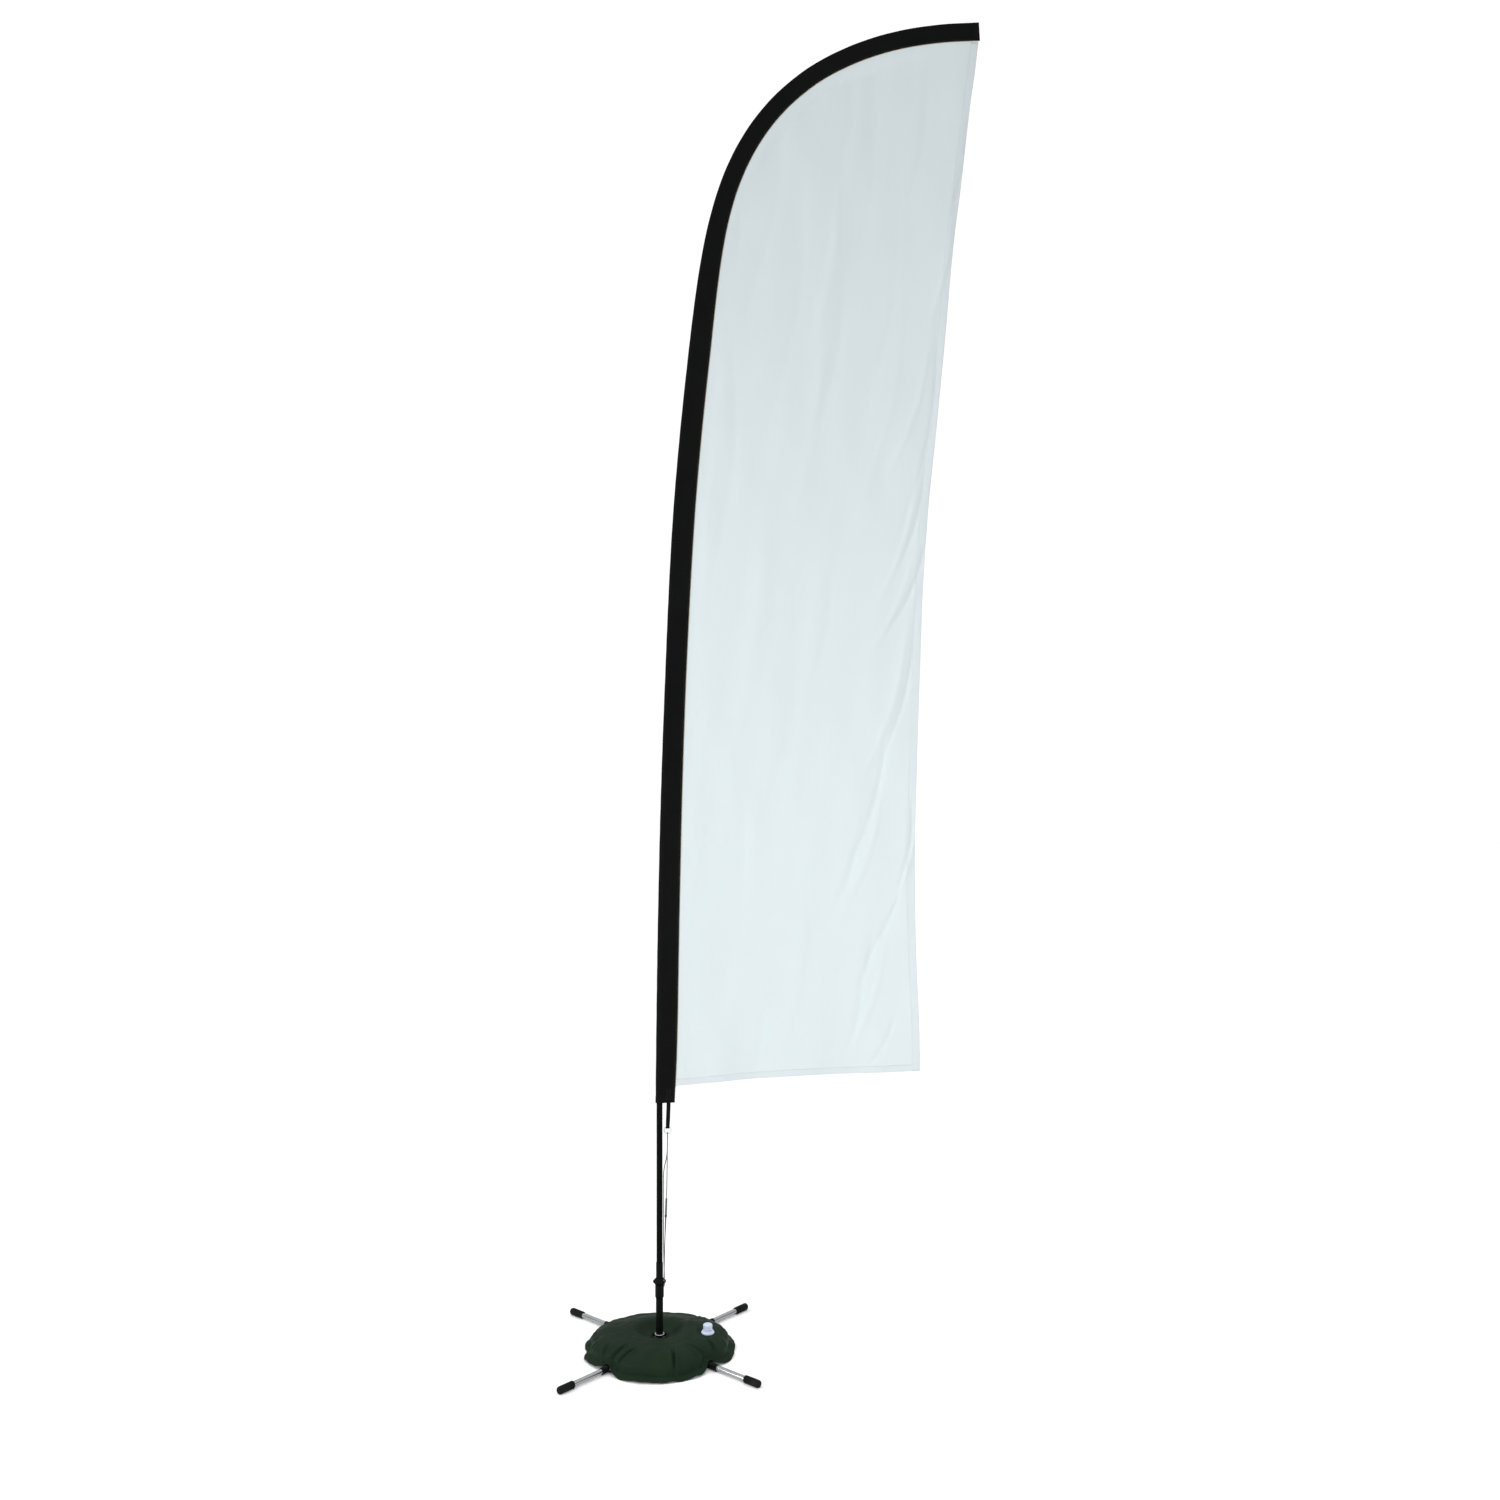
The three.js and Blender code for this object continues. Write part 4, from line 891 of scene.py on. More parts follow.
# lengthwise creases that run in from the rim: azimuth, inner radius, depth, half-width (mm), slant (degrees)
CREASES = [
    (229, 150, 13.0, 7.0, 7), (221, 188, 6.0, 6.0, -8), (238, 168, 12.5, 6.0, 12), (319, 152, 15.0, 6.5, -14),
    (328, 168, 9.0, 6.0, 9), (309, 196, 4.0, 6.0, -4), (285, 172, 10.0, 4.5, 3), (188, 205, 7.5, 6.0, 3), (203, 208, 3.0, 6.0, -3),
    (343, 212, 4.0, 6.0, 5), (12, 208, 4.0, 7.0, 4), (49, 190, 4.5, 8.0, 4), (58, 205, 2.5, 7.0, -5), (41, 208, 2.0, 6.0, 4),
    (88, 212, 3.5, 7.0, 3), (139, 200, 3.0, 8.0, -4), (150, 214, 1.6, 7.0, 5), (128, 216, 1.4, 6.0, -4), (168, 220, 1.8, 6.0, 2),
]


WELD = 19.0  # width of the pressed edge


def bag_points():
    az = np.linspace(0, 360, 720, endpoint=False)
    # how far each azimuth's rim stands out, and how high its welded edge lies
    leg = sum(bump_at(az, a, 9.5) for a in LEG_AZIMUTHS)
    pull = {49.0: 10.0, 139.0: 10.0, 229.0: 22.0, 319.0: 24.0}
    rim = 258.5 - sum(pull[a] * bump_at(az, a, 8.5) for a in LEG_AZIMUTHS)
    rim += 7.0 * bump_at(az, 342, 13) + 17.0 * bump_at(az, 268, 34) - 4.0 * bump_at(az, 92, 30) + 6.0 * bump_at(az, 202, 7) - 4.0 * bump_at(az, 285, 4) - 8.0 * bump_at(az, 188, 4.5)
    rim += 1.6 * np.sin(np.radians(az * 5 + 30)) + 1.1 * np.sin(np.radians(az * 13)) + 0.7 * np.sin(np.radians(az * 29 + 80))
    rim_z = 5.5 + 22.5 * np.clip(sum(bump_at(az, a, 7.0) for a in LEG_AZIMUTHS), 0, 1)
    rim_z += 2.2 * np.sin(np.radians(az * 7 + 50)) * (1 - leg) + 1.4 * np.sin(np.radians(az * 17 + 10)) * (1 - leg) + 3.0 * bump_at(az, 186, 7)
    # the top: q from 0 at the hole to 1 at the weld
    q = np.linspace(0, 1, 78)
    table_r = [0, 0.020, 0.045, 0.075, 0.13, 0.20, 0.30, 0.45, 0.62, 0.76, 0.86, 0.93, 0.97, 1.0]
    table_h = [0.600, 0.608, 0.665, 0.755, 0.845, 0.915, 0.970, 1.0, 0.980, 0.905, 0.765, 0.56, 0.37, 0.0]
    h = np.interp(q, table_r, table_h)
    for _ in range(3):
        h[1:-1] = 0.25 * h[:-2] + 0.5 * h[1:-1] + 0.25 * h[2:]
    # the welded edge slopes down to the ground between the legs
    droop = 9.0 * (1 - np.clip(sum(bump_at(az, a, 10.0) for a in LEG_AZIMUTHS), 0, 1))
    top_r = 26.3 + (rim[:, None] - WELD - 1.0 - 26.3) * (q[None, :] ** 0.92)
    # the skin stands a little over its weld, so a dark groove runs inside it
    over = 5.5 * np.exp(-(((q - 0.945) / 0.045) ** 2)) - 2.5 * np.exp(-(((q - 1.0) / 0.012) ** 2))
    top_r = top_r + over[None, :] * (0.75 + 0.25 * np.sin(np.radians(az * 3 + 20)))[:, None]
    A = np.broadcast_to(az[:, None], top_r.shape)
    crest = 78.5 + 1.5 * np.sin(np.radians(2 * A + 40)) + 1.2 * np.sin(np.radians(3 * A))
    base = (rim_z + droop)[:, None] + 2.0
    base = base * smoothstep(0.45, 1.0, q)[None, :]
    # the bag lies fuller towards its front than its back
    rear = 0.5 * (1 + np.sin(np.radians(A)))
    crest = crest * (1 - 0.31 * rear * smoothstep(0.12, 0.75, q)[None, :])
    top_z = h[None, :] * crest + base * (1 - h[None, :])
    # the leg pulls the skin up under the bag and in, so the shoulder there is steeper and puckered
    slack = smoothstep(0.55, 0.95, q)[None, :]
    leg_front = sum(bump_at(az, a, 9.5) * (1.0 if a > 180 else 0.25) for a in LEG_AZIMUTHS)
    top_z = top_z - 5.0 * slack * leg_front[:, None] * (1 - smoothstep(0.95, 1.0, q)[None, :])
    # creases
    for c_az, r_in, depth, half, slant in CREASES:
        along = np.clip((top_r - r_in) / (rim[:, None] - WELD - 1 - r_in), 0, 1)
        d = np.radians(angle_gap(A, c_az + slant * (1 - along))) * top_r
        cut = np.exp(-((d / half) ** 2)) - 0.42 * (np.exp(-(((d - 1.9 * half) / (1.1 * half)) ** 2)) + np.exp(-(((d + 1.9 * half) / (1.1 * half)) ** 2)))
        fade = smoothstep(0.0, 0.5, along) * (1 - 0.75 * smoothstep(0.93, 1.0, along))
        top_z = top_z - depth * cut * fade
    # slow dents from the water inside and a few soft pulls across the top
    X, Y = top_r * np.cos(np.radians(A)), top_r * np.sin(np.radians(A))
    body = smoothstep(0.08, 0.25, q)[None, :] * (1 - smoothstep(0.86, 0.98, q)[None, :])
    dents = 0.45 * (0.9 * np.sin(X / 27 + 1.3 * np.sin(Y / 41)) * np.sin(Y / 33 + 0.8) + 0.5 * np.sin((X + 0.6 * Y) / 13 + np.sin(Y / 19)) + 0.35 * np.sin((X - 0.8 * Y) / 9.0))
    for x0, y0, x1, y1, amp, wid in ((-95, -60, -30, -95, 2.2, 6), (-20, -100, 30, -82, 1.8, 6), (-60, -118, -5, -128, 1.6, 5), (60, 60, 130, 110, 2.0, 9), (-150, 40, -90, 95, 2.0, 9), (110, -90, 60, -140, 2.0, 8), (150, 30, 190, 70, 1.5, 8)):
        ax, ay = x1 - x0, y1 - y0
        tt = np.clip(((X - x0) * ax + (Y - y0) * ay) / (ax * ax + ay * ay), 0, 1)
        dd = np.hypot(X - x0 - tt * ax, Y - y0 - tt * ay)
        dents = dents - amp * np.exp(-((dd / wid) ** 2))
    top_z = top_z + dents * body
    # flat seat under the hole's eyelet
    ring_seat = 1 - smoothstep(32.8, 92, top_r)
    top_z = top_z * (1 - ring_seat) + 47.2 * ring_seat
    # flat seat for the valve's flange, with the skin drawn up to it
    dv = np.hypot(X - VALVE[0], Y - VALVE[1])
    seat = 1 - smoothstep(23.6, 44, dv)
    top_z = top_z * (1 - seat) + 61.7 * seat
    # the weld: a flat double edge, slightly waved
    w_in = np.array([WELD + 0.2, WELD - 1.0, 15.6, 14.6, 13.8, 11.0, 8.0, 5.6, 4.8, 4.0, 1.2, 0.3, 0.0, 0.3, 1.2, 8.0, WELD])
    w_r = rim[:, None] - w_in[None, :]
    w_dz = np.array([1.6, 1.2, 1.0, 0.45, 0.45, 0.8, 0.8, 0.45, 0.45, 0.9, 0.85, 0.5, 0.0, -0.5, -0.85, -0.9, -0.95])
    edge_wave = 1.3 * np.sin(np.radians(az * 23 + 40)) + 0.9 * np.sin(np.radians(az * 41))
    out = np.clip(1 - w_in / WELD, 0, 1)[None, :]
    w_z = rim_z[:, None] + w_dz[None, :] + droop[:, None] * (w_in / WELD)[None, :] + (edge_wave * (1 - 0.6 * leg))[:, None] * out
    # the underside: down to the ground between the legs, up over each socket and the hub
    u = np.linspace(0, 1, 40)[1:]
    un_r = (rim[:, None] - WELD - 0.5) + (26.3 - (rim[:, None] - WELD - 0.5)) * u[None, :]
    A2 = np.broadcast_to(az[:, None], un_r.shape)
    near = np.min([np.abs(un_r * np.sin(np.radians(angle_gap(A2, a)))) + 1e3 * (np.abs(angle_gap(A2, a)) > 80) for a in LEG_AZIMUTHS], axis=0)
    over_leg = 1 - smoothstep(13.5, 34.0, near)
    over_hub = 1 - smoothstep(36, 66, un_r)
    lift = np.maximum(over_leg, over_hub)
    un_z = 1.6 + 22.6 * lift
    blend = smoothstep(0.0, 0.10, u)[None, :]
    un_z = ((rim_z + droop)[:, None] - 1.0) * (1 - blend) + un_z * blend
    un_z = np.maximum(un_z, 24.0 * (near < 13.0))
    # the hole's wall
    wall_r = np.full((len(az), 4), 26.3)
    wall_z = np.stack([np.full(len(az), z) for z in (26.0, 30.0, 34.0, 37.5)], axis=1)
    top_first = top_z[:, :1]
    wall_z = np.minimum(wall_z, top_first - 1.0)
    R = np.concatenate([top_r, w_r, un_r, wall_r], axis=1)
    Z = np.concatenate([top_z, w_z, un_z, wall_z], axis=1)
    Z = np.maximum(Z, 0.9)
    a = np.radians(az)[:, None]
    return np.stack([R * np.cos(a), R * np.sin(a), Z], axis=-1), rim, rim_z


pts, BAG_RIM, BAG_RIM_Z = bag_points()
co = pts.reshape(-1, 3)
bag = make("water_bag_skin", co, grid_faces(pts.shape[0], pts.shape[1], wrap=True, wrap_rows=True), BAG.m, angle=62)
finish_piece(bag, "water_bag", ["water_bag"])
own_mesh(bag)

# eyelet: a moulded ring in the bag's hole
eyelet_profile = [(23.4, 30), (25.6, 30), (25.7, 40), (26.6, 45.5, 1.0), (31.6, 47.6, 0.6), (31.6, 48.6, 0.5), (27.5, 49.4, 1.5), (23.9, 48.6, 1.2), (23.4, 46), (23.4, 30)]
eyelet = lathe("hole_eyelet", eyelet_profile, PLASTIC.m, seg=96, r=0.4)
finish_piece(eyelet, "water_bag", ["bag_eyelet"])
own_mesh(eyelet)

# ------------------------------------------------------------------ filling valve
at_valve = lambda c: c + np.array([VALVE[0], VALVE[1], 62.0])
neck_profile = [
    (10, 0.4), (21.8, 0.4, 0.5), (22.4, 1.2, 0.4), (22.4, 5.0, 0.8), (21.2, 6.4, 1.0), (19.8, 7.0, 0.6), (19.4, 9.4, 0.8), (17.8, 10.8, 0.8), (13.6, 11.6, 0.6), (12.2, 12.3, 0.4),
    (12.2, 14.0), (12.4, 14.6), (12.4, 15.6), (12.1, 16.2), (12.1, 17.6), (12.4, 18.2), (12.4, 19.2), (12.1, 19.8), (12.1, 26.6), (11.7, 27),
    (10, 27), (10, 0.4)]
neck = lathe("filler_neck", neck_profile, WHITE.m, seg=72, r=0.3, place=at_valve)
finish_piece(neck, "water_bag", ["valve_neck"])


def ribs(co):
    """Grip ribs round the cap's skirt."""
    r, a = np.hypot(co[:, 0], co[:, 1]), np.arctan2(co[:, 1], co[:, 0])
    band = (r > 15.0) & (co[:, 2] > 14.3) & (co[:, 2] < 28.6)
    k = np.where(band, 1 - 0.022 * (1 - np.abs(np.cos(14 * a)) ** 0.7) * 1.6, 1.0)
    return np.stack([co[:, 0] * k, co[:, 1] * k, co[:, 2]], axis=1)


cap_profile = [(0, 29.2), (12.9, 29.2), (12.9, 13), (15.3, 13, 0.2), (15.8, 13.8, 0.4), (15.8, 14.6), (15.75, 15.2), (15.75, 21), (15.75, 27.8), (15.7, 28.6), (15.5, 29.6, 0.8), (14.2, 31.2, 0.8), (11.6, 31.7, 0.5),
               (11.2, 31.0, 0.3), (10.4, 30.9, 0.3), (10.0, 31.5, 0.3), (3.0, 31.7), (0, 31.7)]
cap = lathe("filler_cap", cap_profile, WHITE.m, seg=224, r=0.2, place=at_valve, shape=ribs)
finish_piece(cap, "valve_cap", ["valve_cap"])
liner = lathe("cap_liner", [(0, 27.4), (11.6, 27.4), (12.3, 27.8), (12.3, 28.5), (11.9, 28.9), (0, 28.9)], RUBBER.m, seg=56, r=0.2, place=at_valve)
finish_piece(liner, "cap_gasket", ["cap_gasket"])

# ------------------------------------------------------------------ sail
rev = list(reversed(LEECH))
LEECH_LINE = respaced(catmull(rev, 16), 2.0)
LEECH_LINE = np.vstack([LEECH_LINE, [1100.3, 4511.0]])
LEECH_S = arclength(LEECH_LINE)
SEAM_IN = 7.0  # how far the sail's luff is tucked between the sleeve's two plies


def px(x, y):
    """A crease's end from the working grid of 3.448 mm, x from the pole's foot and y up from the ground."""
    return ((x - 659.4) * 3.448, (1348.7 - y) * 3.448)


FOLDS = [  # from, to, amplitude, half-width, both in mm
    (px(852, 66), px(837, 180), 3.2, 24), (px(838, 170), px(812, 345), -4.2, 22), (px(872, 80), px(850, 300), 3.0, 30), (px(846, 270), px(800, 470), 4.6, 26),
    (px(822, 300), px(790, 520), -3.6, 24), (px(803, 190), px(770, 420), 3.2, 30), (px(898, 210), px(862, 420), 3.4, 26), (px(900, 330), px(868, 480), -3.0, 20),
    (px(968, 110), px(950, 215), 3.0, 12), (px(952, 190), px(930, 320), -2.6, 14), (px(937, 320), px(905, 520), 3.6, 13), (px(928, 350), px(890, 470), -3.0, 14),
    (px(925, 455), px(902, 560), 3.6, 10), (px(918, 470), px(880, 600), -2.8, 11), (px(925, 545), px(890, 628), 4.2, 9), (px(912, 560), px(872, 650), -2.6, 11),
    (px(915, 612), px(884, 755), 3.6, 10), (px(885, 740), px(852, 860), 3.4, 11), (px(856, 850), px(835, 905), 2.4, 10), (px(905, 640), px(866, 770), -3.0, 13),
    (px(911, 800), px(905, 868), 3.4, 9), (px(906, 860), px(870, 955), 3.2, 9), (px(915, 832), px(890, 910), -3.2, 8), (px(880, 800), px(846, 905), -2.6, 12),
    (px(872, 938), px(860, 985), 2.8, 11), (px(862, 980), px(846, 1055), 2.8, 11), (px(895, 1018), px(868, 1068), 2.6, 11), (px(884, 950), px(852, 1046), -2.4, 13),
    (px(800, 640), px(770, 800), 2.4, 34), (px(760, 520), px(742, 700), -2.4, 36), (px(742, 780), px(722, 1000), 2.4, 32), (px(812, 900), px(786, 1060), 2.2, 28), (px(730, 330), px(716, 560), 2.6, 26),
    (px(764, 1000), px(752, 1076), 2.2, 22), (px(832, 560), px(806, 700), 2.6, 24), (px(784, 120), px(748, 300), 2.6, 26), (px(928, 70), px(905, 210), 2.8, 24),
]
for i in range(26):  # short pulls that start at the luff's stitching
    s_at = 820 + 158.0 * i + 37.0 * math.sin(i * 2.3)
    if s_at > 4700:
        break
    a = on_mast(s_at, smooth_law(WIDTH, s_at) - smooth_law(NOSE, s_at) + 2, 0.0)
    ln = 58 + 24 * math.sin(i * 1.7)
    b = on_mast(s_at - ln * 0.95, smooth_law(WIDTH, s_at) - smooth_law(NOSE, s_at) + 2 + ln * 0.5, 0.0)
    FOLDS.append(((a[0], a[2]), (b[0], b[2]), (1.5 + 0.7 * math.sin(i * 3.1)) * (1 if i % 2 else -1), 7.5))


def ripple(x, z, from_luff, from_leech):
    """How far the cloth stands off its flat plane, towards +Y, in millimetres."""
    y = np.zeros_like(x)
    for (x0, z0), (x1, z1), amp, half in FOLDS:
        ax, az_ = x1 - x0, z1 - z0
        ln = math.hypot(ax, az_)
        t = ((x - x0) * ax + (z - z0) * az_) / (ln * ln)
        d = ((x - x0) * az_ - (z - z0) * ax) / ln
        bow = 0.05 * ln * np.sin(np.clip(t, 0, 1) * math.pi)
        env = np.clip(np.sin(np.clip((t + 0.12) / 1.24, 0, 1) * math.pi), 0, 1) ** 0.8
        y = y + (1.35 if half < 20 else 0.75) * amp * env * (1 + ((d + bow) / half) ** 2) ** -1.6
    # slow billow, a little flutter on the leech and round the foot's free corner
    y = y + 9.0 * np.sin(z / 610 + 0.6) * np.sin(np.clip(x / 900, 0, 1.3) * math.pi * 0.8)
    y = y + 2.6 * np.exp(-from_leech / 110) * np.sin(z / 88 + 1.2 * np.sin(z / 240))
    y = y + 3.4 * np.exp(-np.clip(z - 940, 0, None) / 190) * np.sin(x / 47 + 0.9) * smoothstep(20, 160, from_luff)
    y = y + 0.7 * np.sin(x / 31 + z / 210 + 1.1 * np.sin(z / 160)) + 0.45 * np.sin(x / 17 - z / 120)
    hold = smoothstep(2, 60, from_luff)
    head = 1 - smoothstep(4380, 4520, z)
    return y * hold * (0.25 + 0.75 * head)


def sail_grid(rows, cols):
    v = np.linspace(0, 1, rows)
    s = SAIL_FOOT_S + (MAST_LEN - 0.5 - SAIL_FOOT_S) * v
    n = smooth_law(WIDTH, s) - smooth_law(NOSE, s)
    L = on_mast(s, n - SEAM_IN, 0.0)[:, [0, 2]]
    seam_xz = on_mast(s, n, 0.0)[:, [0, 2]]
    e = LEECH_S[-1] * v
    E = np.stack([np.interp(e, LEECH_S, LEECH_LINE[:, k]) for k in range(2)], axis=1)
    # columns: closer together near both edges
    u = np.linspace(0, 1, cols)
    u = u - 0.075 * np.sin(TAU * u) / 1.0
    P = L[:, None] * (1 - u)[None, :, None] + E[:, None] * u[None, :, None]
    sag = np.interp(u, [0, 0.28, 0.512, 1], [0, 7.0, 8.6, 0])
    for _ in range(6):
        sag[1:-1] = 0.25 * sag[:-2] + 0.5 * sag[1:-1] + 0.25 * sag[2:]
    P[:, :, 1] += sag[None, :] * ((1 - v) ** 14)[:, None]
    row_len = np.linalg.norm(E - L, axis=1)
    from_luff = u[None, :] * row_len[:, None] - SEAM_IN
    from_leech = (1 - u)[None, :] * row_len[:, None]
    y = ripple(P[..., 0], P[..., 1], from_luff, from_leech)
    return P, y, from_luff, from_leech


ROWS, COLS = 420, 124
P, Y, f_luff, f_leech = sail_grid(ROWS, COLS)
co = np.stack([P[..., 0], Y, P[..., 1]], axis=-1)
SAIL_GRID = co
sail = make("sail_cloth", co.reshape(-1, 3), grid_faces(ROWS, COLS), SAIL.m, angle=80, weld=0.01, outward=False)
solidify(sail, 0.3)
finish_piece(sail, "mast", ["sail"])
d1, d2 = P[1:, 1:] - P[:-1, :-1], P[1:, :-1] - P[:-1, 1:]


def surface(x, z, fl, fe):
    return np.stack([x, ripple(x, z, fl, fe), z], axis=-1)


def hem(name, edge, inward, width, fl, fe, material, half=0.42):
    """A folded hem: a band on both faces joined round the free edge. edge and inward are points and directions in X-Z."""
    w = np.concatenate([np.linspace(width, 1.2, 8), [0.55, 0.0], [0.55], np.linspace(1.2, width, 8)])
    side_y = half * np.concatenate([np.full(8, -1.0), [-0.8, 0.0], [0.8], np.full(8, 1.0)])
    out = np.where(np.arange(len(w)) == 9, -0.35, 0.0)
    X = edge[:, None, 0] + inward[:, None, 0] * (w + out)[None, :]
    Z = edge[:, None, 1] + inward[:, None, 1] * (w + out)[None, :]
    flx = fl(X, Z, w)
    fex = fe(X, Z, w)
    y = ripple(X, Z, flx, fex) + side_y[None, :]
    co = np.stack([X, y, Z], axis=-1)
    ob = make(name, co.reshape(-1, 3), grid_faces(len(edge), len(w)), material, angle=80, outward=False)
    return solidify(ob, 0.24)


def luff_distance(x, z):
    """How far a point is from the sleeve's edge, roughly, along X or down from the arch."""
    s = np.linspace(SAIL_FOOT_S, MAST_LEN, 1200)
    q = on_mast(s, smooth_law(WIDTH, s) - smooth_law(NOSE, s), 0.0)[:, [0, 2]]
    flat_x, flat_z = np.ravel(x), np.ravel(z)
    out = np.empty(len(flat_x))
    for i in range(0, len(flat_x), 4000):
        dx = flat_x[i:i + 4000, None] - q[None, :, 0]
        dz = flat_z[i:i + 4000, None] - q[None, :, 1]
        out[i:i + 4000] = np.sqrt((dx * dx + dz * dz).min(axis=1))
    return out.reshape(np.shape(x))


LEECH_HEM, FOOT_HEM = 26.0, 22.0
edge = SAIL_GRID[:ROWS - 1, -1][:, [0, 2]]
tang = np.gradient(edge, axis=0)
tang /= np.linalg.norm(tang, axis=1)[:, None]
inward = np.stack([-tang[:, 1], tang[:, 0]], axis=1)
if inward[0, 0] > 0:
    inward = -inward
leech_hem = hem("leech_hem", edge, inward, LEECH_HEM, lambda x, z, w: luff_distance(x, z), lambda x, z, w: w[None, :] + 0 * x, SAIL.m, half=0.74)
finish_piece(leech_hem, "mast")
foot_edge = SAIL_GRID[0, 2:][:, [0, 2]]
foot_edge = respaced(foot_edge, 6.0)
tang2 = np.gradient(foot_edge, axis=0)
tang2 /= np.linalg.norm(tang2, axis=1)[:, None]
up = np.stack([-tang2[:, 1], tang2[:, 0]], axis=1)
if up[0, 1] < 0:
    up = -up


def leech_gap(x, z):
    return np.maximum(np.interp(z, LEECH_LINE[:, 1], LEECH_LINE[:, 0]) - x, 0.0)


keep = foot_edge[:, 0] < 899.2 - 5.0
foot_hem = hem("foot_hem", foot_edge[keep], up[keep], FOOT_HEM, lambda x, z, w: luff_distance(x, z), lambda x, z, w: leech_gap(x, z), SAIL.m)
finish_piece(foot_hem, "mast")

# hem stitching, on both faces
runs = []
for e2, inw, width, fe_fn in ((edge, inward, LEECH_HEM - 2.2, None), (foot_edge[keep], up[keep], FOOT_HEM - 2.0, "foot")):
    q = e2 + inw * width
    fl = luff_distance(q[:, 0], q[:, 1])
    fe = np.full(len(q), width) if fe_fn is None else leech_gap(q[:, 0], q[:, 1])
    y = ripple(q[:, 0], q[:, 1], fl, fe)
    for sgn in (-1, 1):
        line = np.stack([q[:, 0], y + sgn * (0.86 if fe_fn is None else 0.54), q[:, 1]], axis=1)
        runs.append((line, np.tile([0.0, float(sgn), 0.0], (len(line), 1))))
co, faces = stitches(runs, pitch=4.2, length=3.1, radius=0.30)
hem_stitch = make("hem_stitching", co, faces, THREAD_WHITE.m, angle=70, outward=False)
finish_piece(hem_stitch, "mast")

# ------------------------------------------------------------------ sleeve
def sleeve_half(q):
    """Half-thickness of the sleeve across its flat part, as a share of the nose radius."""
    return 1.0 - 0.925 * q - 0.05 * np.sin(q * math.pi)


